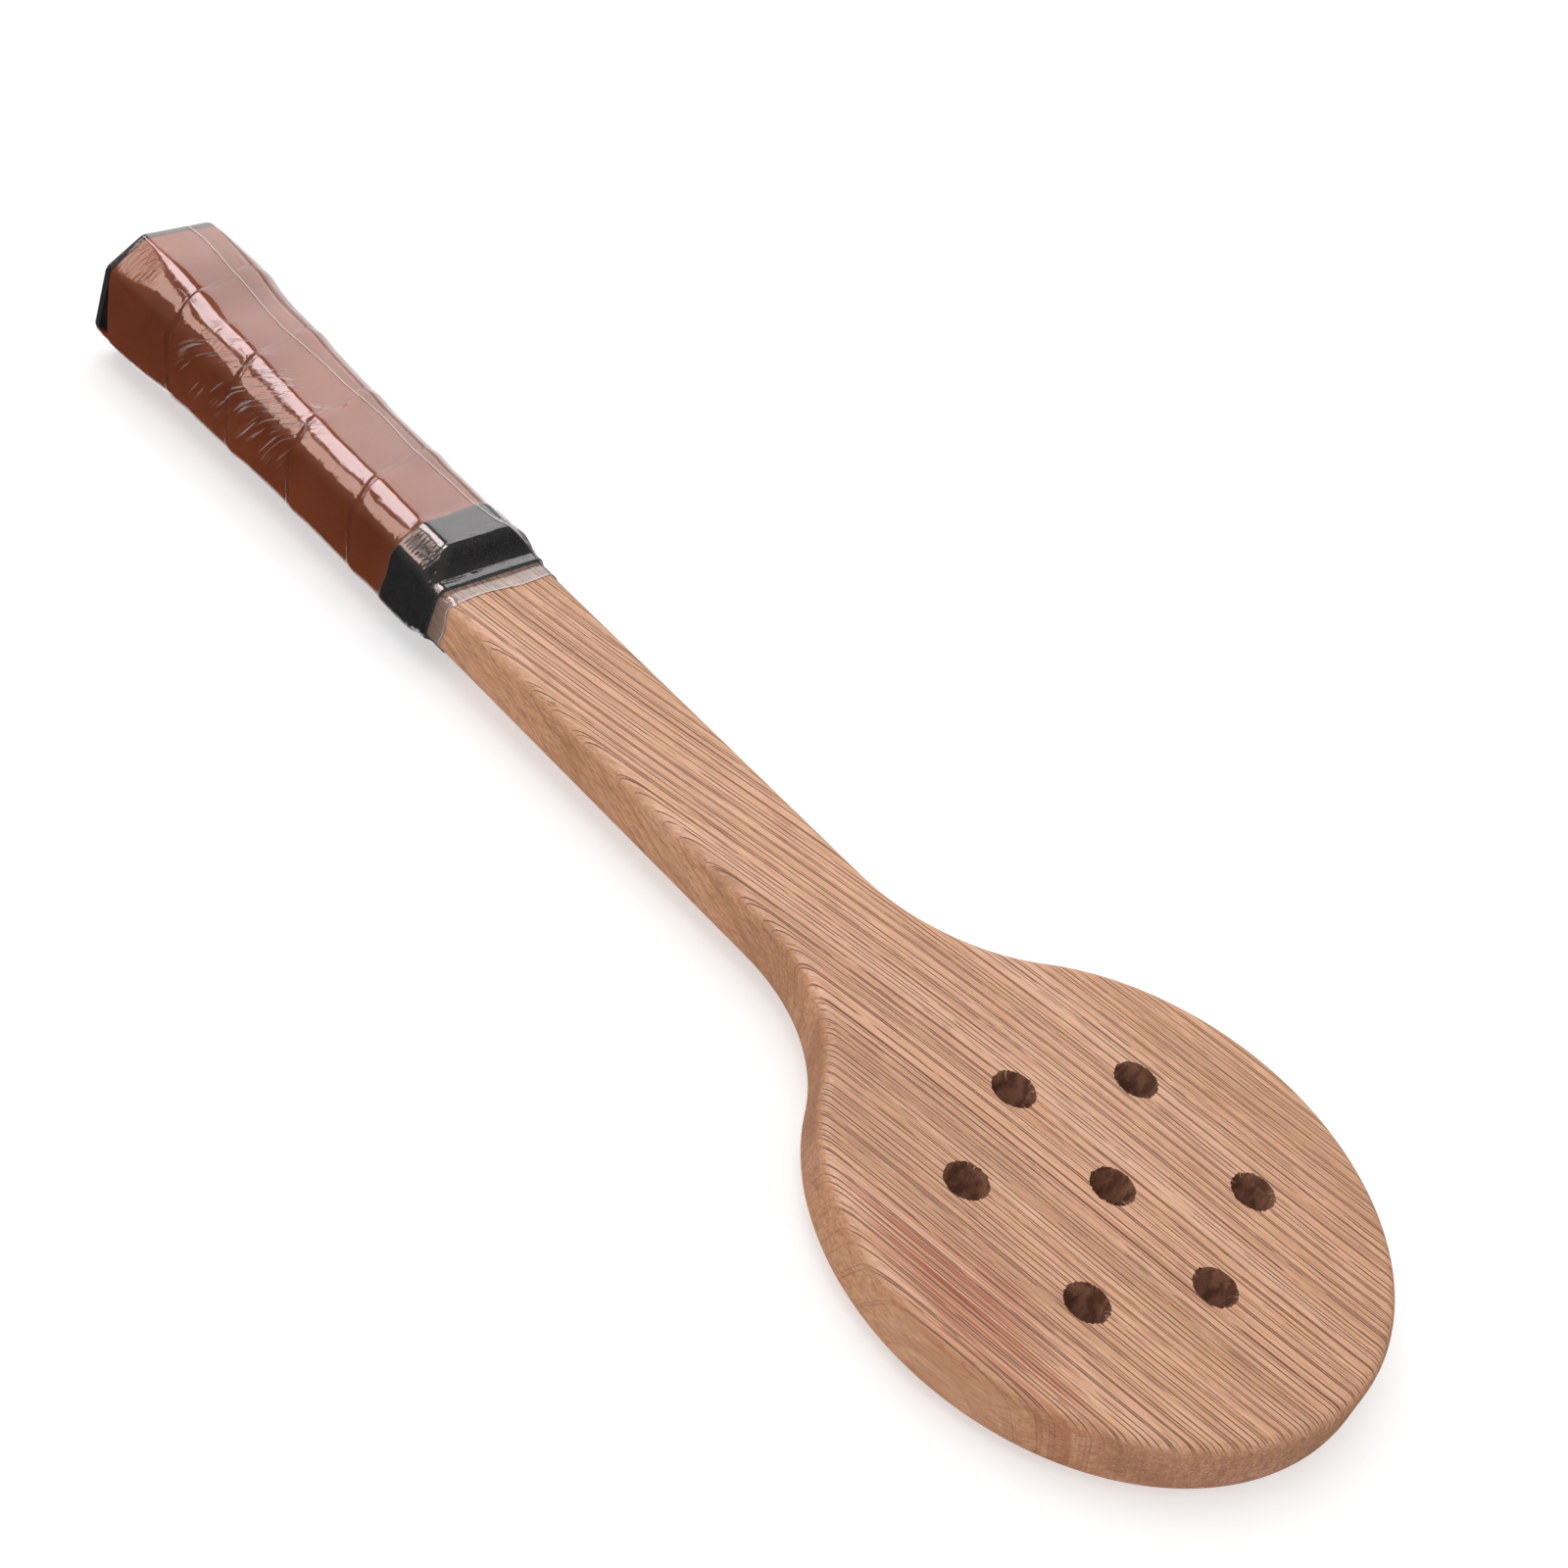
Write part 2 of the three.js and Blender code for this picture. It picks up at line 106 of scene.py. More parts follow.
def bump(t, middle, width):
    """1 at the middle, falling smoothly to 0 at a distance of width."""
    return smooth(1 - np.abs((t - middle) / width))


def blend(a, b, t):
    return tuple(p + (q - p) * t for p, q in zip(a, b))


def grow(octagon, distance):
    """The octagon with every side moved out by a distance."""
    width, height, top, side = octagon
    length = np.hypot(height - side, width - top)
    nx, nz = (height - side) / length, (width - top) / length
    level = nx * top + nz * height + distance
    width, height = width + distance, height + distance
    return width, height, (level - nz * height) / nx, (level - nx * width) / nz


def rough(points, size, octaves=3, seed=0.0):
    """Smooth noise from about -1 to 1 at points of any shape (..., 3), features of that size."""
    flat = points.reshape(-1, 3) / size + seed
    values = [noise.fractal(Vector(p), 1.0, 2.0, octaves) for p in flat]
    return np.array(values).reshape(points.shape[:-1])


# ---------------------------------------------------------------- the handle's sections

CORNER_STEPS, FLAT_STEPS = 6, 6


def outline(octagon, radius):
    """x, z and outward normal x, z round octagons, each an array (reaches, points)."""
    width, height, top, side = (np.atleast_1d(np.asarray(v, float)) for v in octagon)
    radius = np.broadcast_to(np.asarray(radius, float), width.shape)
    core = grow((width, height, top, side), -radius)
    bevel = np.arctan2(height - side, width - top)
    right = np.full_like(bevel, math.pi)
    corners = [
        (1, 1, 0, 0 * bevel, bevel),
        (1, 1, 1, bevel, right / 2),
        (1, -1, 1, right / 2, right - bevel),
        (1, -1, 0, right - bevel, right),
        (-1, -1, 0, right, right + bevel),
        (-1, -1, 1, right + bevel, 1.5 * right),
        (-1, 1, 1, 1.5 * right, 2 * right - bevel),
        (-1, 1, 0, 2 * right - bevel, 2 * right),
    ]
    rows = [(0 * width, height, 0 * width, 1 + 0 * width)]
    for sx, sz, is_side, first, last in corners:
        cx = sx * (core[0] if is_side else core[2])
        cz = sz * (core[3] if is_side else core[1])
        for step in range(CORNER_STEPS + 1):
            angle = first + (last - first) * step / CORNER_STEPS
            nx, nz = np.sin(angle), np.cos(angle)
            point = (cx + radius * nx, cz + radius * nz, nx, nz)
            if step == 0:
                before = rows[-1]
                for k in range(1, FLAT_STEPS):
                    t = k / FLAT_STEPS
                    rows.append(tuple(a + (b - a) * t for a, b in zip(before, point)))
            rows.append(point)
    before, point = rows[-1], rows[0]
    for k in range(1, FLAT_STEPS):
        rows.append(tuple(a + (b - a) * k / FLAT_STEPS for a, b in zip(before, point)))
    return tuple(np.stack([row[i] for row in rows], axis=-1) for i in range(4))


def grip_octagon(reach):
    steep = 0.67 * smooth((34 - reach) / 22)
    gentle = 0.33 * smooth((77 - reach) / 43)
    return blend(SLIM, FLARE, steep + gentle)


def wrap_octagon(reach):
    return blend(grip_octagon(reach), NECK, smooth((reach - SHOULDER) / STEP_LENGTH))


def shares():
    """The share of the way round at each point of an outline, with 1 added at the end."""
    x, z, _, _ = outline(SLIM, CORNER_RADIUS)
    x, z = np.append(x[0], x[0, 0]), np.append(z[0], z[0, 0])
    reached = np.concatenate([[0], np.cumsum(np.hypot(np.diff(x), np.diff(z)))])
    return reached / reached[-1], reached[-1]


SHARES, PERIMETER = shares()
BEVEL_MIDDLE = (SLIM[2] + math.hypot(SLIM[0] - SLIM[2], SLIM[1] - SLIM[3]) / 2) / PERIMETER
BEVELS = (BEVEL_MIDDLE, 0.5 - BEVEL_MIDDLE, 0.5 + BEVEL_MIDDLE, 1 - BEVEL_MIDDLE)
# Middle of each flat as a share of the way round, half its width in mm, and how far it bulges.
FLATS = [(0.0, 7.8, 0.10), (0.5, 7.8, 0.10), (0.25, 6.0, 0.30), (0.75, 6.0, 0.30)]
FLATS += [(middle, 3.9, 0.24) for middle in BEVELS]


def crown(share):
    """How far the soft grip bulges out of its octagon at a share of the way round."""
    total = 0.0
    for middle, half, height in FLATS:
        off = (share - middle + 0.5) % 1 - 0.5
        total = total + height * (1 - np.clip(off * PERIMETER / half, -1, 1) ** 2)
    return total


def on_surface(reach, share, out, octagon=wrap_octagon):
    """Points (..., 3) at a reach and a share of the way round, moved out by a distance."""
    reach, share, out = np.broadcast_arrays(*(np.asarray(v, float) for v in (reach, share, out)))
    radius = CAP_CORNER + FLARE_ADDS * smooth((reach - 4) / 14)
    radius = radius - SLIM_TAKES * smooth((reach - 30) / 25)
    radius = radius + (EDGE_RADIUS - radius) * smooth((reach - SHOULDER) / STEP_LENGTH)
    result = np.empty(reach.shape + (3,))
    for i in np.ndindex(reach.shape[:-1]):
        line = reach[i]
        same = np.ptp(line) < 1e-9
        corner = radius[i][:1] if same else radius[i]
        x, z, nx, nz = outline(octagon(line[:1] if same else line), corner)
        columns = []
        for table in (x, z, nx, nz):
            table = np.concatenate([table, table[:, :1]], axis=1)
            if same:
                columns.append(np.interp(share[i] % 1, SHARES, table[0]))
                continue
            after = np.clip(np.searchsorted(SHARES, share[i] % 1, side="right"), 1, len(SHARES) - 1)
            t = (share[i] % 1 - SHARES[after - 1]) / (SHARES[after] - SHARES[after - 1])
            k = np.arange(len(line))
            columns.append(table[k, after - 1] * (1 - t) + table[k, after] * t)
        length = np.hypot(columns[2], columns[3])
        result[i + (slice(None), 0)] = columns[0] + out[i] * columns[2] / length
        result[i + (slice(None), 1)] = BUTT_Y + line
        result[i + (slice(None), 2)] = MID_Z + columns[1] + out[i] * columns[3] / length
    return result


def seam_reach(turns):
    return FIRST_SEAM - LAP + PITCH * turns


def band_height(above, stand):
    """The band's outer face over the grip's surface, by the distance above its lower edge."""
    edge = 0.62 * smooth(above / 0.75) - 0.42
    ridge = 0.32 * stand * (smooth(above / 1.4) - smooth((above - 1.2) / 6.5))
    tuck = -0.30 * smooth((above - PITCH + 1.3) / 1.3)
    return edge - 0.20 + ridge + tuck + 0.12


def swell(reach):
    """How far the band stands up at its seams: the cap's rim holds it flat near the butt."""
    return 0.1 + 0.9 * smooth((reach - 8) / 8)


def relief(reach, share):
    """The height of the wound grip over its surface at any reach and share."""
    turns = np.floor((reach - seam_reach(share)) / PITCH)
    return band_height(reach - seam_reach(turns + share), swell(reach)) + crown(share)


# ---------------------------------------------------------------- meshes


def make_piece(name, vertices, faces, materials, nodes=(), sharp=0, indices=None):
    """A smooth piece from vertices in mm, on the root body, creased above an angle unless it is 0."""
    mesh = bpy.data.meshes.new(name)
    mesh.from_pydata((np.asarray(vertices, float) * MM).tolist(), [], faces)
    mesh.validate()
    mesh.polygons.foreach_set("use_smooth", [True] * len(mesh.polygons))
    if sharp:
        mesh.set_sharp_from_angle(angle=math.radians(sharp))
    for material in materials:
        mesh.materials.append(material)
    if indices is not None:
        mesh.polygons.foreach_set("material_index", indices)
    piece = bpy.data.objects.new(name, mesh)
    bpy.context.scene.collection.objects.link(piece)
    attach(piece, "root")
    if nodes:
        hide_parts(*nodes)
    return piece


def grid_faces(rows, columns, closed_rows=False, closed_columns=False, start=0):
    """Quads of a grid of vertices, row after row."""
    faces = []
    for r in range(rows if closed_rows else rows - 1):
        for c in range(columns if closed_columns else columns - 1):
            a, b = start + r * columns, start + (r + 1) % rows * columns
            d = (c + 1) % columns
            faces.append((a + c, a + d, b + d, b + c))
    return faces


# ---------------------------------------------------------------- materials


class Wire:
    """A socket of a material's node tree that sums can be written with."""

    def __init__(self, paint, socket):
        self.paint, self.socket = paint, socket

    def __add__(self, other):
        return self.paint.math("ADD", self, other)

    def __sub__(self, other):
        return self.paint.math("SUBTRACT", self, other)

    def __mul__(self, other):
        return self.paint.math("MULTIPLY", self, other)

    __radd__, __rmul__ = __add__, __mul__

    def __rsub__(self, other):
        return self.paint.math("SUBTRACT", other, self)

    def span(self, low, high, to_low=0.0, to_high=1.0):
        """This value moved from low..high to to_low..to_high, smoothly and clamped."""
        node = self.paint.node("ShaderNodeMapRange", interpolation_type="SMOOTHSTEP", Value=self)
        limits = {"From Min": low, "From Max": high, "To Min": to_low, "To Max": to_high}
        for key, value in limits.items():
            node.inputs[key].default_value = value
        return Wire(self.paint, node.outputs[0])

    def abs(self):
        return self.paint.math("ABSOLUTE", self)

    def floor(self):
        return self.paint.math("FLOOR", self)

    def fract(self):
        return self.paint.math("FRACT", self)

    def sin(self):
        return self.paint.math("SINE", self)


class Paint:
    """One material: a Principled shader and short ways to write the nodes in front of it."""

    def __init__(self, name, **values):
        self.material = bpy.data.materials.new(name)
        self.material.use_nodes = True
        self.tree = self.material.node_tree
        self.tree.nodes.clear()
        self.shader = self.node("ShaderNodeBsdfPrincipled")
        self.output = self.node("ShaderNodeOutputMaterial")
        self.tree.links.new(self.shader.outputs[0], self.output.inputs[0])
        for key, value in values.items():
            self.shader.inputs[key.replace("_", " ")].default_value = value

    def node(self, kind, **settings):
        node = self.tree.nodes.new(kind)
        for key, value in settings.items():
            if isinstance(value, Wire):
                self.tree.links.new(value.socket, node.inputs[key.replace("_", " ")])
            elif hasattr(node, key):
                setattr(node, key, value)
            else:
                node.inputs[key.replace("_", " ")].default_value = value
        return node

    def put(self, value, socket):
        if isinstance(value, Wire):
            self.tree.links.new(value.socket, socket)
        else:
            socket.default_value = value

    def set(self, **wires):
        for key, value in wires.items():
            self.put(value, self.shader.inputs[key.replace("_", " ")])

    def math(self, operation, *values):
        node = self.node("ShaderNodeMath", operation=operation)
        for socket, value in zip(node.inputs, values):
            self.put(value, socket)
        return Wire(self, node.outputs[0])

    def place(self):
        """x, y, z in mm in the row frame."""
        coordinates = self.node("ShaderNodeTexCoord").outputs["Object"]
        split = self.node("ShaderNodeSeparateXYZ", Vector=Wire(self, coordinates))
        return [Wire(self, socket) * 1000.0 for socket in split.outputs]

    def facing(self):
        """x, y, z of the surface's own normal, in the row frame."""
        coordinates = self.node("ShaderNodeTexCoord").outputs["Normal"]
        split = self.node("ShaderNodeSeparateXYZ", Vector=Wire(self, coordinates))
        return [Wire(self, socket) for socket in split.outputs]

    def noise(self, x, y=0.0, z=0.0, detail=2.0, roughness=0.5, distortion=0.0):
        vector = self.node("ShaderNodeCombineXYZ")
        for socket, value in zip(vector.inputs, (x, y, z)):
            self.put(value, socket)
        node = self.node("ShaderNodeTexNoise", Vector=Wire(self, vector.outputs[0]))
        node.inputs["Scale"].default_value = 1.0
        node.inputs["Detail"].default_value = detail
        node.inputs["Roughness"].default_value = roughness
        node.inputs["Distortion"].default_value = distortion
        return Wire(self, node.outputs[0])

    def mix(self, share, a, b, mode="MIX"):
        node = self.node("ShaderNodeMix", data_type="RGBA", blend_type=mode)
        for index, value in ((0, share), (6, a), (7, b)):
            if isinstance(value, tuple) and len(value) == 3:
                value = value + (1.0,)
            self.put(value, node.inputs[index])
        return Wire(self, node.outputs[2])

    def bump(self, height, distance, strength=1.0):
        """A normal from a height in units of distance mm."""
        node = self.node("ShaderNodeBump", Height=height)
        node.inputs["Distance"].default_value = distance * MM
        node.inputs["Strength"].default_value = strength
        return Wire(self, node.outputs[0])


def oak_fields(paint):
    """Where a point of the board lies in its grain, and how steeply its surface cuts the rings."""
    x, y, z = paint.place()
    nx, ny, nz = paint.facing()
    bend = y * 0.185 + ((y - 20.0) * 0.02618).sin() * 1.91
    lean = ((y - 20.0) * 0.02618 + math.pi / 2).sin() * 0.05 + 0.185
    dive = 0.55 - y.span(38.0, 92.0) * 0.70
    wander = (paint.noise(x * 0.020, y * 0.006, z * 0.03, 1.0) - 0.5) * 2.6
    across = x + bend + dive * (z - FACE_Z) + wander
    along = nx + lean * ny + dive * nz
    slope = paint.math("MAXIMUM", lean * lean + dive * dive + 1.0 - along * along, 0.0016)
    return x, y, z, across, paint.math("SQRT", slope)


def pore_rows(paint, across, slope, y, pitch, seed, width):
    """Thin dark rows of pores, one for each year's growth, equally thin on every face."""
    spread = (paint.noise(across * 0.17, seed, 0.0, 1.0) - 0.5) * 0.9
    ring = across * (1.0 / pitch) + spread + seed
    away = (ring.fract() - 0.5).abs() * pitch
    away = paint.math("DIVIDE", away, slope)
    length = paint.noise(ring.floor() * 17.3, y * 0.040, seed, 3.0, 0.7)
    depth = paint.noise(ring.floor() * 7.7, seed, 0.0).span(0.3, 0.7, 0.7, 1.0)
    shown = length.span(0.36, 0.46, 0.0, 1.0) * depth * slope.span(0.05, 0.3)
    return away.span(width, width * 0.25) * shown, away.span(0.75, 0.25) * shown, ring


def oak_material(name, hole_shade=0.0, dull=0.0):
    paint = Paint(name, Specular_IOR_Level=0.3)
    x, y, z, across, slope = oak_fields(paint)
    _, ny, nz = paint.facing()
    end = ny.abs().span(0.40, 0.92)
    wall = nz.abs().span(0.9, 0.35)

    broad = paint.noise(across * 0.085, y * 0.006, z * 0.05, 2.0)
    streak = paint.noise(across * 0.33, y * 0.010, z * 0.15, 2.0)
    fine = paint.noise(across * 1.3, y * 0.022, z * 0.6, 3.0, 0.6)
    hair = paint.noise(across * 3.0, y * 0.10, z * 2.4, 2.0, 0.6)
    colour = paint.mix(fine.span(0.3, 0.7), (0.720, 0.402, 0.246), (0.605, 0.300, 0.165))
    colour = paint.mix(broad.span(0.50, 0.66) * 0.55, colour, (0.430, 0.215, 0.110))
    colour = paint.mix(broad.span(0.46, 0.30) * 0.35, colour, (0.800, 0.520, 0.390))
    colour = paint.mix(streak.span(0.57, 0.70) * 0.55, colour, (0.370, 0.180, 0.092))
    colour = paint.mix(streak.span(0.42, 0.26) * 0.40, colour, (0.790, 0.510, 0.350))
    colour = paint.mix(hair.span(0.48, 0.70) * 0.45, colour, (0.420, 0.205, 0.112))
    colour = paint.mix(hair.span(0.48, 0.30) * 0.35, colour, (0.850, 0.560, 0.390))

    red = paint.noise(across * 2.0, y * 0.014, 7.0, 2.0).span(0.42, 0.56)
    near = (((x - 48.0) * 0.062).abs() + ((y - 136.0) * 0.022).abs()).span(1.05, 0.35)
    colour = paint.mix(red * near * 0.92, colour, (0.370, 0.092, 0.040))

    rows, beside, ring = pore_rows(paint, across, slope, y, 2.3, 3.0, 0.235)
    more, near_more, _ = pore_rows(paint, across, slope, y, 3.1, 8.4, 0.225)
    rest, _, _ = pore_rows(paint, across, slope, y, 4.9, 5.6, 0.20)
    dash = paint.noise(across * 3.2, y * 0.11, z * 1.6, 1.0).span(0.60, 0.68)
    dash = dash * paint.noise(across * 0.5, y * 0.03, z * 0.3).span(0.38, 0.60)
    pores = paint.math("MAXIMUM", rows, rest)
    pores = paint.math("MAXIMUM", pores, paint.math("MAXIMUM", more, dash * 0.5))
    halo = paint.math("MAXIMUM", beside, near_more)
    dots = paint.noise(x * 2.6, y * 0.8, z * 2.6, 1.0).span(0.56, 0.70)
    dots = dots * (ring.fract() - 0.5).abs().span(0.42, 0.12, 0.35, 1.0)
    pores = paint.math("MAXIMUM", pores * (1.0 - end * 0.68) * (1.0 - wall * 0.72), dots * end * 0.62)
    fleck = paint.noise(x * 1.0, y * 0.30, z * 3.4, 2.0, 0.6).span(0.54, 0.66) * wall
    colour = paint.mix(fleck * 0.55, colour, (0.330, 0.150, 0.085))
    # Thin lines round the wall, in place of the rings' edges where the rings lie along it.
    level = z * 0.80 + paint.noise(x * 0.05, y * 0.05, 0.0) * 3.0
    lines = (level.fract() - 0.5).abs().span(0.10, 0.02) * slope.span(0.42, 0.16) * wall
    colour = paint.mix(lines * 0.45, colour, (0.300, 0.140, 0.080))
    colour = paint.mix(halo * (1.0 - wall) * 0.30, colour, (0.800, 0.500, 0.335))
    colour = paint.mix(slope.span(0.42, 0.16) * wall * 0.30, colour, (0.800, 0.500, 0.335))
    colour = paint.mix(pores * 0.96, colour, (0.135, 0.040, 0.015))
    # Painted shade: wherever the surface turns from the faces to the walls, the colour is made darker
    # and warmer.
    colour = paint.mix(wall * 0.8, colour, paint.mix(1.0, colour, (0.87, 0.79, 0.70), "MULTIPLY"))
    mottle = paint.noise(x * 0.9, y * 0.9, z * 1.1, 4.0, 0.7)
    colour = paint.mix(end * mottle.span(0.38, 0.62) * 0.65, colour, (0.380, 0.165, 0.098))
    # Painted shade in the holes: their walls take a darker, mottled brown, with a coarser bump.
    if hole_shade:
        hole_shade_mottle = paint.noise(x * 0.4, y * 0.4, z * 0.2, 2.0, 0.6)
        dark = paint.mix(hole_shade_mottle.span(0.36, 0.64), (0.160, 0.064, 0.038), (0.420, 0.205, 0.128))
        colour = paint.mix(hole_shade, colour, dark)
    if dull:
        colour = paint.mix(dull, colour, (0.40, 0.24, 0.15))
    paint.set(Base_Color=colour, Roughness=fine.span(0.2, 0.8, 0.46, 0.62) + pores * 0.2)
    grit = hair * 0.3 + paint.noise(x * 1.5, y * 0.4, z * 1.5, 3.0) * 0.3
    paint.set(Normal=paint.bump(grit - pores * 1.1, 0.10 if not hole_shade else 0.3))
    return paint.material


def brown_material():
    """Smooth brown synthetic leather, with a fine grain; the band's skived edges are shaped in its
    mesh, not coloured here.
    """
    paint = Paint("brown_leather", Specular_IOR_Level=0.12)
    x, y, z = paint.place()
    cloud = paint.noise(x * 0.05, y * 0.05, z * 0.05, 3.0, 0.55)
    grain = paint.noise(x * 3.0, y * 3.0, z * 3.0, 3.0, 0.6)
    colour = paint.mix(cloud.span(0.3, 0.7), (0.400, 0.098, 0.028), (0.470, 0.125, 0.038))
    colour = paint.mix(grain.span(0.4, 0.8) * 0.25, colour, (0.310, 0.072, 0.020))
    paint.set(Base_Color=colour, Roughness=grain.span(0.3, 0.7, 0.40, 0.52))
    paint.set(Normal=paint.bump(grain, FINE_RELIEF, 0.5))
    return paint.material


def tape_material():
    paint = Paint("black_pvc", Specular_IOR_Level=0.55, Coat_Weight=0.3, Coat_Roughness=0.1)
    x, y, z = paint.place()
    crease = paint.noise(x * 0.35, y * 1.1, z * 0.35, 4.0, 0.7, 0.8)
    dust = paint.noise(x * 2.5, y * 2.5, z * 2.5, 2.0)
    colour = paint.mix(dust.span(0.4, 0.8), (0.010, 0.010, 0.012), (0.024, 0.024, 0.027))
    paint.set(Base_Color=colour, Roughness=dust.span(0.3, 0.8, 0.16, 0.30))
    paint.set(Normal=paint.bump(crease, 0.25, 0.22))
    return paint.material


def plastic_material():
    paint = Paint("black_moulded", Specular_IOR_Level=0.2)
    x, y, z = paint.place()
    grain = paint.noise(x * 4.0, y * 4.0, z * 4.0, 3.0, 0.6)
    colour = paint.mix(grain.span(0.3, 0.8), (0.022, 0.022, 0.025), (0.038, 0.038, 0.043))
    paint.set(Base_Color=colour, Roughness=grain.span(0.3, 0.7, 0.30, 0.46))
    paint.set(Normal=paint.bump(grain, FINE_RELIEF, 0.6))
    return paint.material


def film_material():
    """Clear film pulled tight: it lets what is under it through, and shines and hazes over it."""
    paint = Paint("clear_wrap")
    paint.tree.nodes.remove(paint.shader)
    x, y, z = paint.place()
    edge = Wire(paint, paint.node("ShaderNodeAttribute", attribute_name="edge").outputs["Fac"])
    ripple = paint.noise(x * 0.22, y * 0.10, z * 0.22, 2.0, 0.6)
    comb = paint.noise(x * 0.30, y * 1.3, z * 0.30, 2.0, 0.6) * paint.facing()[2].span(0.97, 0.86)
    # Streaks in a patch on the upper +X side of the grip: partly fine crease relief in the bump, partly
    # painted highlight as white haze.
    band = (x * 0.35 + y).span(-158.0, -150.0) * (x * 0.35 + y).span(-112.0, -122.0)
    band = band * x.span(3.0, 9.0) * z.span(13.0, 19.0)
    streaks_and_glints = paint.noise(y * 1.6 + x * 1.25 - z * 0.75, x * 0.10 - y * 0.08, z * 0.05, 1.0)
    streaks_and_glints = streaks_and_glints.span(0.61, 0.68) * band
    creases = paint.noise(x * 0.5 + y * 0.9, x * 0.06 - y * 0.05, z * 0.3, 3.0, 0.65, 0.4)
    on_wood = y.span(-67.0, -64.0)
    # The white haze is partly the film's own (over the wood, over the tape, at its creases) and partly
    # painted highlight: along the lapped edge and the end on the wood, towards grazing angles and in
    # the streaks.
    haze_and_sheen = on_wood * 0.06 + edge * 0.36 + creases.span(0.64, 0.82) * 0.04
    haze_and_sheen = haze_and_sheen + y.span(-84.0, -82.0) * 0.012 + 0.004
    # Painted sheen: the white haze grows towards grazing angles.
    facing = Wire(paint, paint.node("ShaderNodeLayerWeight", Blend=0.25).outputs["Facing"])
    haze_and_sheen = haze_and_sheen + facing.span(0.55, 1.0) * 0.45 + streaks_and_glints * 0.28
    normal = paint.bump(ripple * 0.45 + creases * 0.08 + comb * 0.45 + streaks_and_glints * 0.55, 0.30, 0.6)
    fresnel = paint.node("ShaderNodeFresnel", Normal=normal)
    fresnel.inputs["IOR"].default_value = FILM_IOR
    gloss = paint.node("ShaderNodeBsdfGlossy", Normal=normal)
    gloss.inputs["Color"].default_value = (1.0, 0.985, 0.98, 1.0)
    gloss.inputs["Roughness"].default_value = 0.05
    clear = paint.node("ShaderNodeBsdfTransparent")
    clear.inputs["Color"].default_value = (0.98, 0.97, 0.965, 1.0)
    milk = paint.node("ShaderNodeBsdfDiffuse")
    milk.inputs["Color"].default_value = (0.93, 0.91, 0.91, 1.0)
    body = paint.node("ShaderNodeMixShader")
    paint.put(haze_and_sheen, body.inputs[0])
    paint.tree.links.new(clear.outputs[0], body.inputs[1])
    paint.tree.links.new(milk.outputs[0], body.inputs[2])
    top = paint.node("ShaderNodeMixShader")
    paint.put(Wire(paint, fresnel.outputs[0]), top.inputs[0])
    paint.tree.links.new(body.outputs[0], top.inputs[1])
    paint.tree.links.new(gloss.outputs[0], top.inputs[2])
    paint.tree.links.new(top.outputs[0], paint.output.inputs[0])
    return paint.material


def plain_material(name, low, high, roughness, scale, metal=0.0):
    """A material for a layer that shows only through the gaps, or from inside."""
    paint = Paint(name, Metallic=metal)
    x, y, z = paint.place()
    grain = paint.noise(x * scale, y * scale, z * scale, 4.0, 0.6)
    paint.set(Base_Color=paint.mix(grain.span(0.3, 0.7), low, high))
    paint.set(Roughness=grain.span(0.2, 0.8, roughness - 0.06, roughness + 0.06))
    paint.set(Normal=paint.bump(grain, FINE_RELIEF))
    return paint.material


# ---------------------------------------------------------------- the board


def head_point(angle):
    sin, cos = np.sin(angle), np.cos(angle)
    point = np.stack([HEAD_HALF_WIDTH * sin, HEAD_Y - HEAD_HALF_LENGTH * cos], axis=-1)
    normal = np.stack([HEAD_HALF_LENGTH * sin, -HEAD_HALF_WIDTH * cos], axis=-1)
    return point, normal / np.linalg.norm(normal, axis=-1, keepdims=True)


def board_outline():
    """Points of the board's edge and the ways out of it, anticlockwise from the tang's foot."""
    shoulder = BUTT_Y + SHOULDER
    rise = np.linspace(shoulder - 0.4, shoulder + 7.0, 20)
    t = (rise - rise[0]) / (rise[-1] - rise[0])
    width = TANG_HALF_WIDTH + (NECK_HALF_WIDTH - TANG_HALF_WIDTH) * smooth(t)
    slope = (NECK_HALF_WIDTH - TANG_HALF_WIDTH) * 6 * t * (1 - t) / (rise[-1] - rise[0])
    foot = BUTT_Y + 3.6
    points = [np.array([[TANG_HALF_WIDTH, y] for y in np.linspace(foot, rise[0], 12)[:-1]])]
    normals = [np.tile([1.0, 0.0], (11, 1))]
    points.append(np.stack([width, rise], axis=-1))
    normals.append(np.stack([np.ones_like(slope), -slope], axis=-1) / np.hypot(1, slope)[:, None])

    touch, out = head_point(np.array(FILLET_ANGLE))
    radius = (touch[0] - NECK_HALF_WIDTH) / (1 - out[0])
    centre = touch + out * radius
    straight = np.linspace(rise[-1], centre[1], 40)[1:-1]
    points.append(np.stack([np.full_like(straight, NECK_HALF_WIDTH), straight], axis=-1))
    normals.append(np.tile([1.0, 0.0], (len(straight), 1)))
    sweep = math.atan2(-out[1], out[0])
    turn = math.pi - sweep * np.linspace(0, 1, 28)[:-1]
    way = np.stack([np.cos(turn), np.sin(turn)], axis=-1)
    points.append(centre + radius * way)
    normals.append(-way)
    point, normal = head_point(np.linspace(FILLET_ANGLE, math.pi, 130))
    points.append(point)
    normals.append(normal)
    points, normals = np.concatenate(points), np.concatenate(normals)
    mirror = np.array([-1.0, 1.0])
    return (
        np.concatenate([points, (points * mirror)[-2::-1]]),
        np.concatenate([normals, (normals * mirror)[-2::-1]]),
    )


ROUND_STEPS = 7
HOLE_POINTS = 108
HOLE_LEVELS = [1.0, 0.94, 0.86, 0.7, 0.5, 0.25, 0.0, -0.25, -0.5, -0.7, -0.86, -0.94, -1.0]


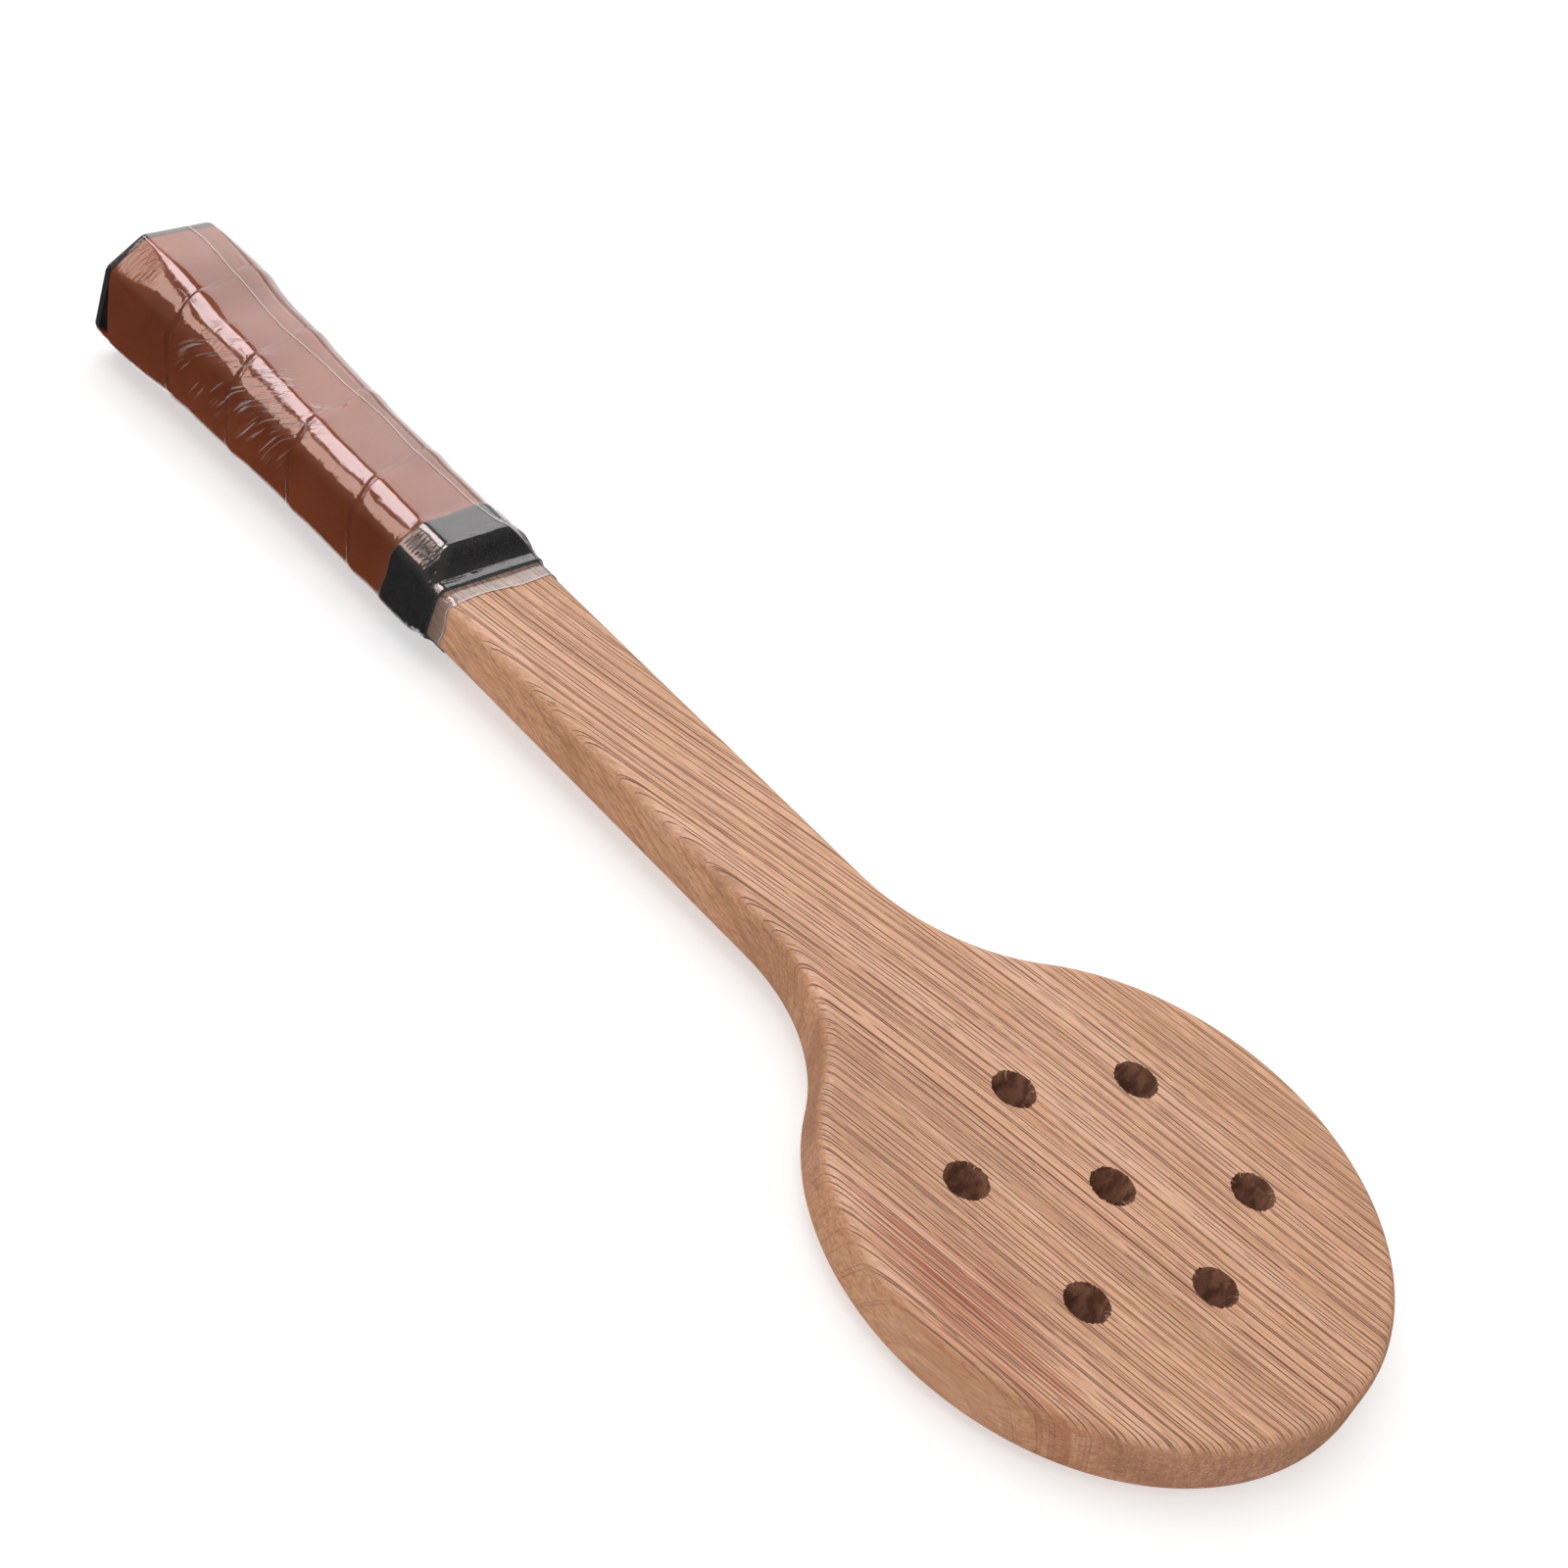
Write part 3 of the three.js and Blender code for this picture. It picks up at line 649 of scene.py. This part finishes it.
def hole_rings(number, centre):
    """Rings down a hole, torn a little at both faces where the drill broke the fibres."""
    angle = np.linspace(0, 2 * math.pi, HOLE_POINTS, endpoint=False)
    rings = []
    for level in HOLE_LEVELS:
        ring = np.stack([np.cos(angle), np.sin(angle), np.full_like(angle, level * 0.6)], axis=-1)
        wall = rough(ring * 6, 1.6, 4, 11.3 * number)
        torn = rough(ring * 6, 0.55, 3, 5.7 * number + 40)
        at_face = max(0.0, abs(level) - 0.55) / 0.45
        out = HOLE_RADIUS + 0.16 * wall + (0.04 + 0.18 * at_face ** 2) * torn
        # Fibres tear out most where the drill's edge meets them across the grain.
        across = np.abs(np.sin(angle)) ** 3
        tear = np.maximum(0, rough(ring * 6, 0.8, 2, 2.9 * number + 9))
        out = out + at_face ** 2 * across * 0.38 * tear
        points = np.empty((HOLE_POINTS, 3))
        points[:, 0] = centre[0] + out * np.cos(angle)
        points[:, 1] = centre[1] + out * np.sin(angle)
        points[:, 2] = MID_Z + HALF_BOARD * level
        rings.append(points)
    return rings


def in_hole(x, y, loops):
    """Whether a point lies inside one of the torn holes."""
    for (hx, hy), loop in zip(HOLES, loops):
        away = math.hypot(x - hx, y - HEAD_Y - hy)
        if away > HOLE_RADIUS * 1.5:
            continue
        turn = math.atan2(y - HEAD_Y - hy, x - hx) / (2 * math.pi) % 1 * HOLE_POINTS
        k = int(turn)
        ends = [loop[k % HOLE_POINTS], loop[(k + 1) % HOLE_POINTS]]
        first, second = (math.hypot(px - hx, py - HEAD_Y - hy) for _, px, py in ends)
        return away < first + (second - first) * (turn - k)
    return False


def face_triangles(loops):
    """Triangles over the first loop of (index, x, y) points, leaving out the hole loops."""
    flat, index, edges = [], [], []
    for loop in loops:
        start = len(flat)
        for k, (i, x, y) in enumerate(loop):
            flat.append(Vector((x, y)))
            index.append(i)
            edges.append((start + k, start + (k + 1) % len(loop)))
    found = delaunay_2d_cdt(flat, edges, [], 1, 1e-7)
    made, triangles, origin = found[0], found[2], found[3]
    keep = []
    for triangle in triangles:
        middle = sum((made[i] for i in triangle), Vector((0, 0))) / 3
        if not in_hole(*middle, loops[1:]):
            keep.append(tuple(index[origin[i][0]] for i in triangle))
    return keep


def fine_board(materials):
    edge, out = board_outline()
    count = len(edge)
    vertices, normals, faces, kinds = [], [], [], []

    # The edge: a quarter round, the wall, and a quarter round back in.
    levels = []
    for step in range(ROUND_STEPS + 1):
        angle = math.pi / 2 * step / ROUND_STEPS
        levels.append((1, math.sin(angle), math.cos(angle)))
    levels += [(-1, sin, cos) for _, sin, cos in reversed(levels)]
    for side, sin, cos in levels:
        inset = EDGE_RADIUS * (1 - sin)
        z = MID_Z + side * (HALF_BOARD - EDGE_RADIUS + EDGE_RADIUS * cos)
        for point, way in zip(edge, out):
            place = point - way * inset
            vertices.append((place[0], place[1], z))
            normals.append((way[0] * sin, way[1] * sin, side * cos))
    faces += [face[::-1] for face in grid_faces(len(levels), count, closed_columns=True)]
    kinds += ["edge"] * len(faces)

    top_holes, bottom_holes = [], []
    for number, (hx, hy) in enumerate(HOLES):
        rings = hole_rings(number, (hx, HEAD_Y + hy))
        start = len(vertices)
        for ring in rings:
            vertices += ring.tolist()
            normals += [(0, 0, 0)] * HOLE_POINTS
        walls = grid_faces(len(rings), HOLE_POINTS, closed_columns=True, start=start)
        faces += walls
        kinds += ["hole"] * len(walls)
        last = start + (len(rings) - 1) * HOLE_POINTS
        top_holes.append([(start + k, *vertices[start + k][:2]) for k in range(HOLE_POINTS)])
        bottom_holes.append([(last + k, *vertices[last + k][:2]) for k in range(HOLE_POINTS)])

    low = (len(levels) - 1) * count
    rim = [(k, *vertices[k][:2]) for k in range(count)]
    under = [(low + k, *vertices[low + k][:2]) for k in range(count)]
    for loops, kind, sign in (([rim] + top_holes, "top", 1), ([under] + bottom_holes, "bottom", -1)):
        for a, b, c in face_triangles(loops):
            (ax, ay), (bx, by), (cx, cy) = (vertices[i][:2] for i in (a, b, c))
            up = (bx - ax) * (cy - ay) - (by - ay) * (cx - ax) > 0
            faces.append((a, b, c) if up == (sign > 0) else (a, c, b))
            kinds.append(kind)

    # Smooth normals in the holes, exact ones elsewhere.
    points = np.array(vertices)
    sums = np.zeros_like(points)
    for face, kind in zip(faces, kinds):
        if kind == "hole":
            a, b, c, d = points[list(face)]
            sums[list(face)] += np.cross(c - a, d - b)
    lengths = np.linalg.norm(sums, axis=1, keepdims=True)
    sums = sums / np.maximum(lengths, 1e-12)
    indices = [1 if kind == "hole" else 0 for kind in kinds]
    piece = make_piece("oak_board", points, faces, materials, ["oak_blade"], 0, indices)
    piece.visible_glossy = False  # or the tape and the film would mirror the neck
    loops = []
    for polygon, kind in zip(piece.data.polygons, kinds):
        for vertex in polygon.vertices:
            if kind == "edge":
                loops.append(normals[vertex])
            elif kind == "hole":
                loops.append(tuple(sums[vertex]))
            else:
                loops.append((0, 0, 1 if kind == "top" else -1))
    piece.data.normals_split_custom_set(loops)
    return piece


def hole_fibres(material):
    """Torn fibres that stand in the mouths of the holes: thin tapering curved slivers."""
    random = np.random.default_rng(12)
    vertices, faces = [], []
    for hx, hy in HOLES:
        for _ in range(16):
            side = random.choice([-1, 1])
            angle = side * math.pi / 2 + random.normal(0, 0.75)
            face = random.choice([1, 1, -1])
            length = random.uniform(0.5, 1.6) * (2.0 if random.random() < 0.12 else 1.0)
            width = random.uniform(0.10, 0.26)
            lean = random.uniform(-0.9, 0.9)
            drop = random.uniform(0.15, 0.9)
            start = len(vertices)
            steps = 5
            for k in range(steps + 1):
                t = k / steps
                r = HOLE_RADIUS + 0.25 - length * t * math.cos(lean)
                turn = angle + length * t * math.sin(lean) / HOLE_RADIUS + 0.12 * math.sin(3 * t + lean)
                z = MID_Z + face * (HALF_BOARD - 0.18 - drop * t * t)
                half = width / 2 * (1 - 0.85 * t) / r
                for offset, lift in ((-half, 0), (0, 0.06 * (1 - t)), (half, 0), (0, -0.06 * (1 - t))):
                    a = turn + offset
                    x, y = hx + r * math.cos(a), HEAD_Y + hy + r * math.sin(a)
                    vertices.append((x, y, z + lift))
            faces += grid_faces(steps + 1, 4, closed_columns=True, start=start)
            faces += [(start + 3, start + 2, start + 1, start)]
            end = start + steps * 4
            faces += [(end, end + 1, end + 2, end + 3)]
    return make_piece("hole_fibres", vertices, faces, [material], (), 60)


# ---------------------------------------------------------------- the grip

# The band's vertices, by their distance above its lower edge.
BAND_COLUMNS = [
    0, 0.15, 0.3, 0.5, 0.75, 1.05, 1.4, 1.9, 2.6, 3.4, 4.4, 5.6, 7, 9, 11.5, 14, 16.5, 18.5, 20,
    21.2, 21.9, 22.3, 22.6, 22.85, 23.05,
]


def fine_band(material):
    """The wound band: one closed strip whose lower edge laps over the turn before it."""
    # In turns: the strip starts part of the way round its first turn, under the cap's rim.
    first, last = -1.0 + 0.30, (GRIP_END - 3 - FIRST_SEAM) / PITCH
    samples = [t + s for t in range(-1, int(last) + 1) for s in SHARES[:-1]]
    samples = np.array([t for t in samples if first <= t <= last])
    above = np.array(BAND_COLUMNS)
    reach = seam_reach(samples)[:, None] + above[None, :]
    inner = np.clip(reach + LAP * 0.45, GRIP_START, GRIP_END)
    reach = np.clip(reach, GRIP_START, GRIP_END)
    height = band_height(np.broadcast_to(above, reach.shape), swell(reach))
    # The band is pulled thin over the cap's rim and under the tape.
    height = height * smooth((reach - GRIP_START) / 1.2) * smooth((TAPE_START + 2 - reach) / 3.0)
    share = np.broadcast_to(samples[:, None], reach.shape)
    place = np.stack([share * 40, reach, 0 * reach], axis=-1)
    height = height + 0.06 * rough(place, 9.0, 2) + crown(share % 1)
    outer = on_surface(reach, share, height, grip_octagon)
    under = on_surface(inner, share, np.full_like(inner, -BAND_THICKNESS + 0.15), grip_octagon)
    rings = np.concatenate([outer, under[:, ::-1]], axis=1)
    rows, columns = rings.shape[:2]
    faces = grid_faces(rows, columns, closed_columns=True)
    half = columns // 2
    end = (rows - 1) * columns
    for k in range(half - 1):
        other = columns - 1 - k
        faces.append((other, other - 1, k + 1, k))
        faces.append((end + k, end + k + 1, end + other - 1, end + other))
    vertices = rings.reshape(-1, 3)
    return make_piece("leather_band", vertices, faces, [material], ["grip_band"], 55)


# ---------------------------------------------------------------- tape and film


def corner_pleats(reach, share, middle_share, middle_reach, count, size):
    """Folds that fan out from a point of the handle's surface."""
    du, dv = reach - middle_reach, (share - middle_share) * PERIMETER
    away = np.hypot(du, dv)
    fan = np.cos(count * np.arctan2(du, dv) + 0.8 * np.sin(away * 0.9))
    return fan * smooth(away / 1.2) * smooth(1 - away / size)


def sleeve_grid(start, end, step, columns):
    rows = int(round((end - start) / step)) + 1
    reach = np.linspace(start, end, rows)
    return np.meshgrid(reach, np.arange(columns) / columns, indexing="ij")


def round_place(reach, share):
    """A place on a tube of about the handle's size, so that noise meets itself round it."""
    turn = 2 * math.pi * share
    return np.stack([np.cos(turn) * 15, reach, np.sin(turn) * 15], axis=-1)


def tape_height(reach, share):
    """The tape's outer face over the surface it follows, with its wraps and creases."""
    place = round_place(reach, share)
    crease = np.abs(rough(place * [1, 1.6, 1], 7.0, 1, 3.0))
    height = 0.60 - 0.30 * np.minimum(crease, 0.4) * smooth((reach - 115) / 5)
    height = height + 0.04 * rough(place, 6.0, 1)
    # The second wrap's edge runs round at a slant.
    edge = 118.0 + 2.2 * np.sin(2 * math.pi * (share - 0.1)) + 0.3 * np.sin(2 * math.pi * share * 5)
    height = height + 0.22 * smooth((reach - edge) / 0.5)
    for corner, turn in ((0.150, 7), (0.352, 5), (0.648, 6), (0.850, 6)):
        height = height + 0.11 * corner_pleats(reach, share, corner, 122.4, 2 * turn, 8.5)
    # Wrinkles heap up on the bevels, where it was pulled down over the shoulder.
    for middle, amount in zip(BEVELS, (1, 0.5, 0.5, 0.4)):
        phase = 2 * math.pi * reach / 1.05 + 1.2 * rough(place, 4.0, 1, 8.0) + 24 * (share - middle)
        heap = bump(share, middle, 0.055) * smooth((reach - 110.2) / 1.2)
        heap = heap * smooth((121.0 - reach) / 2.0)
        height = height + 0.075 * amount * np.sin(phase) * heap
    # Two long pleats cross the front below the shoulder.
    for low, rise, size in ((123.4, 14.0, 0.13), (125.0, 8.0, 0.09)):
        line = low - rise * (share + 0.02)
        height = height + size * bump(reach, line, 0.7) * bump(share, 0.075, 0.06)
    fade = smooth((reach - TAPE_START) / 0.4) * smooth((TAPE_END - reach) / 0.4)
    return 0.30 + (height - 0.30) * (0.45 + 0.55 * fade)


def fine_tape(material):
    reach, share = sleeve_grid(TAPE_START, TAPE_END, 0.14, ROUND_COLUMNS)
    # The lower edge runs round at a slant, with small waves.
    slant = 1.1 * np.cos(2 * math.pi * (share - 0.2)) + 0.15 * np.sin(2 * math.pi * share * 9)
    lower = smooth((114 - reach) / 4.5)
    shown = reach + lower * slant * 0.6
    outer = on_surface(shown, share, tape_height(reach, share))
    inner = on_surface(shown, share, np.full_like(reach, 0.12))
    grid = np.concatenate([outer, inner[::-1]], axis=0)
    rows, columns = grid.shape[:2]
    faces = grid_faces(rows, columns, closed_rows=True, closed_columns=True)
    vertices = grid.reshape(-1, 3)
    return make_piece("wound_tape", vertices, faces, [material], ["finishing_tape"], 50)


def film_height(reach, share):
    """The film's height: it lies on the grip, bridges its hollows and crinkles at the tape."""
    place = round_place(reach, share)
    on_grip = relief(reach, share)
    for shift in (-1.0, -0.5, 0.5, 1.0):
        on_grip = np.maximum(on_grip, relief(reach + shift, share) - 0.10)
    flat = bump(np.abs((share + 0.5) % 1 - 0.5), 0.0, 0.11)
    on_grip = on_grip + (crown(share) + 0.16 - on_grip) * 0.92 * flat
    height = on_grip + 0.22 + 0.4 * bump(reach, 34, 22) + 0.07 * rough(place, 12.0, 2)
    on_tape = smooth((reach - TAPE_START + 2) / 3)
    taped = tape_height(np.clip(reach, TAPE_START, TAPE_END), share) + 0.2
    on_wood = smooth((reach - TAPE_END + 0.5) / 2.0)
    taped = taped * (1 - on_wood) + (0.25 + 0.12 * rough(place, 2.5, 3)) * on_wood
    return height * (1 - on_tape) + taped * on_tape


def fine_film(material):
    """One sheet of film round the whole handle, lapped along the front flat."""
    columns = ROUND_COLUMNS
    coarse = np.linspace(FILM_START, FILM_FINE_FROM, 261)[:-1]
    reach = np.concatenate([coarse, np.linspace(FILM_FINE_FROM, FILM_END, 150)])
    rows = len(reach)
    start = -(5.0 + 7.0 * reach / FILM_END + 0.7 * np.sin(reach / 9.0) + 0.35 * np.sin(reach / 3.7))
    length = 1 + FILM_LAP / PERIMETER
    reach = np.repeat(reach[:, None], columns, axis=1)
    even = reach
    t = np.linspace(0, 1, columns)[None, :]
    share = start[:, None] / PERIMETER + length * t
    ends = FILM_END - 0.9 * np.sin(2 * math.pi * (share + 0.12)) - 0.35 * np.sin(14 * math.pi * share)
    reach = np.minimum(reach, FILM_END) * (1 + (ends / FILM_END - 1) * smooth((reach - 122) / 9))
    over = smooth((t - (1 - 1.9 * FILM_LAP / PERIMETER)) * PERIMETER / 4.5)
    height = film_height(reach, share % 1) + 0.10 * over
    points = on_surface(reach, share, height)
    faces = grid_faces(rows, columns)
    vertices = points.reshape(-1, 3)
    piece = make_piece("clear_film", vertices, faces, [material], ["film_wrap"])
    # A mask for painted highlight: the material whitens the film along its lapped edge and, fainter,
    # along its end on the wood.
    edge = np.maximum(
        smooth(1.6 - (1 - t) * PERIMETER / 0.35) * np.ones_like(reach),
        0.6 * smooth(1 - (FILM_END - even) / 0.8),
    )
    layer = piece.data.attributes.new("edge", "FLOAT", "POINT")
    layer.data.foreach_set("value", edge.reshape(-1))
    return piece


# ---------------------------------------------------------------- build

oak = oak_material("red_oak")
# The hole walls' oak, with painted shade.
hole_shade_oak = oak_material("red_oak_hole_shade", hole_shade=0.85)
fibre = plain_material("torn_oak", (0.42, 0.22, 0.13), (0.66, 0.42, 0.28), 0.7, 2.0)

fine_board([oak, hole_shade_oak])
hole_fibres(fibre)
fine_band(brown_material())
fine_tape(tape_material())
fine_film(film_material())

HIDDEN = {
    "handle_cheek_front": oak_material("oak_cheek", dull=0.35),
    "butt_cap": plastic_material(),
    "cap_staple_left": plain_material(
        "staple_wire", (0.50, 0.50, 0.52), (0.66, 0.66, 0.68), 0.32, 0.8, 1.0
    ),
    "grip_adhesive": plain_material("adhesive_strip", (0.74, 0.69, 0.56), (0.84, 0.80, 0.70), 0.5, 0.5),
    "grip_backing": plain_material("felt_backing", (0.03, 0.026, 0.023), (0.07, 0.06, 0.055), 0.9, 2.5),
}
HIDDEN["handle_cheek_back"] = HIDDEN["handle_cheek_front"]
HIDDEN["cap_staple_right"] = HIDDEN["cap_staple_left"]
for name, material in HIDDEN.items():
    node = frame["nodes"][name]
    node.data.materials.clear()
    node.data.materials.append(material)

# ---------------------------------------------------------------- floor, light and camera

FLOOR_TILT = math.atan2(9.85, 381.0)  # the paddle rests on its butt and on the head's back


FLOOR_SIZE = 6.0
FLOOR_GAP = 0.0004


def on_floor(lift, *ring):
    """Corners in metres, lifted off the plane that the paddle rests on."""
    rise = math.tan(FLOOR_TILT)
    return [(x, y, (y - BUTT_Y * MM) * rise + lift) for x, y in ring]


def floor():
    mesh = bpy.data.meshes.new("floor")
    corners = [(sx * FLOOR_SIZE, sy * FLOOR_SIZE) for sx, sy in ((-1, -1), (1, -1), (1, 1), (-1, 1))]
    mesh.from_pydata(on_floor(-FLOOR_GAP, *corners), [], [(0, 1, 2, 3)])
    paint = Paint("floor_paint", Roughness=0.9, Specular_IOR_Level=0.1)
    paint.set(Emission_Color=WHITE + (1.0,), Emission_Strength=0.50)
    x, y, _ = paint.place()
    cloud = paint.noise(x * 0.01, y * 0.01, 0.0)
    paint.set(Base_Color=paint.mix(cloud, (0.55, 0.55, 0.55), (0.58, 0.58, 0.58)))
    mesh.materials.append(paint.material)
    plane = bpy.data.objects.new("floor", mesh)
    bpy.context.scene.collection.objects.link(plane)
    plane.visible_glossy = False


def world():
    """A pale sky over a darker lower half, dimmed in reflections, and plain white to the camera."""
    sky = bpy.data.worlds.new("studio")
    bpy.context.scene.world = sky
    sky.use_nodes = True
    tree = sky.node_tree
    background = tree.nodes["Background"]
    coordinates = tree.nodes.new("ShaderNodeTexCoord")
    split = tree.nodes.new("ShaderNodeSeparateXYZ")
    ramp = tree.nodes.new("ShaderNodeMapRange")
    path = tree.nodes.new("ShaderNodeLightPath")
    camera = tree.nodes.new("ShaderNodeMix")
    tree.links.new(coordinates.outputs["Generated"], split.inputs[0])
    tree.links.new(split.outputs[2], ramp.inputs["Value"])
    for key, value in (("From Min", -0.05), ("From Max", 0.45), ("To Min", 0.15), ("To Max", 0.72)):
        ramp.inputs[key].default_value = value
    shine = tree.nodes.new("ShaderNodeMapRange")
    tree.links.new(path.outputs["Is Glossy Ray"], shine.inputs["Value"])
    shine.inputs["To Min"].default_value = 1.0
    shine.inputs["To Max"].default_value = 0.25
    sheen = tree.nodes.new("ShaderNodeMath")
    sheen.operation = "MULTIPLY"
    tree.links.new(ramp.outputs[0], sheen.inputs[0])
    tree.links.new(shine.outputs[0], sheen.inputs[1])
    tree.links.new(path.outputs["Is Camera Ray"], camera.inputs[0])
    tree.links.new(sheen.outputs[0], camera.inputs[2])
    camera.inputs[3].default_value = 0.95
    tree.links.new(camera.outputs[0], background.inputs["Strength"])
    background.inputs["Color"].default_value = WHITE + (1.0,)


def softbox(name, target, direction, distance, size, radiance, colour=WHITE):
    """A rectangular light that faces its target, its length lying as near to Y as that allows."""
    data = bpy.data.lights.new(name, "AREA")
    data.shape = "RECTANGLE"
    data.size, data.size_y = size
    data.energy = radiance * math.pi * size[0] * size[1]
    data.color = colour
    light = bpy.data.objects.new(name, data)
    bpy.context.scene.collection.objects.link(light)
    way = Vector(direction).normalized()
    side = Vector((0, 1, 0)).cross(way).normalized()
    turn = Matrix((side, way.cross(side), way)).transposed().to_4x4()
    light.matrix_world = Matrix.Translation(Vector(target) + way * distance) @ turn
    light.visible_camera = False
    return light


def camera():
    data = bpy.data.cameras.new("camera")
    data.lens, data.sensor_width, data.sensor_fit = 65.96, 36.0, "HORIZONTAL"
    data.clip_start = 0.01
    view = bpy.data.objects.new("camera", data)
    bpy.context.scene.collection.objects.link(view)
    ahead = Vector((-0.66857, -0.39943, -0.62727)).normalized()
    up = Vector((-0.28989, -0.63678, 0.71447)).normalized()
    right = ahead.cross(up).normalized()
    up = right.cross(ahead)
    turn = Matrix((right, up, -ahead)).transposed().to_4x4()
    view.matrix_world = Matrix.Translation((0.39768, 0.26259, 0.41286)) @ turn
    bpy.context.scene.camera = view


def card(name, corners, strength, colour):
    """A glowing card that only reflections see, as a white table edge or wall is."""
    mesh = bpy.data.meshes.new(name)
    mesh.from_pydata(corners, [], [(0, 1, 2, 3)])
    paint = Paint(name, Base_Color=(0.0, 0.0, 0.0, 1.0))
    paint.set(Emission_Color=colour + (1.0,), Emission_Strength=strength)
    mesh.materials.append(paint.material)
    piece = bpy.data.objects.new(name, mesh)
    bpy.context.scene.collection.objects.link(piece)
    piece.visible_camera = piece.visible_diffuse = False
    piece.visible_shadow = piece.visible_transmission = False


HANDLE = (0.0, -0.130, 0.030)
floor()
world()
camera()
overhead = softbox("overhead", (0, 0, 0), (-0.05, -0.45, 1.0), 1.15, (1.4, 1.4), 1.42)
overhead.visible_glossy = False
panels = [
    softbox("front_panel", HANDLE, (-0.5755, -0.5826, 0.5744), 1.3, (0.9, 0.9), 2.65),
    softbox("bevel_panel", HANDLE, (0.085, -0.44, 0.894), 1.2, (0.50, 0.70), 9.4, (1.0, 0.87, 0.90)),
    softbox("tan_panel", HANDLE, (0.520, -0.44, 0.732), 1.2, (0.34, 0.70), 5.4, (1.0, 0.74, 0.64)),
]
for panel in panels:
    panel.visible_diffuse = False
far = [(-0.80, -0.80), (-0.030, -0.80), (-0.030, 0.05), (-0.80, 0.05)]
card("far_card", on_floor(FLOOR_GAP, *far), 1.1, WHITE)
under = [(-0.012, -0.240), (0.017, -0.240), (0.017, -0.07), (-0.012, -0.07)]
card("under_card", on_floor(FLOOR_GAP, *under), 0.9, WHITE)
wall = [(-1.15, 0.05, 0.0), (-0.25, -1.15, 0.0), (-0.25, -1.15, 0.26), (-1.15, 0.05, 0.26)]
card("wall_card", wall, 1.1, (1.0, 0.97, 0.96))
bpy.context.scene.view_settings.view_transform = "Standard"
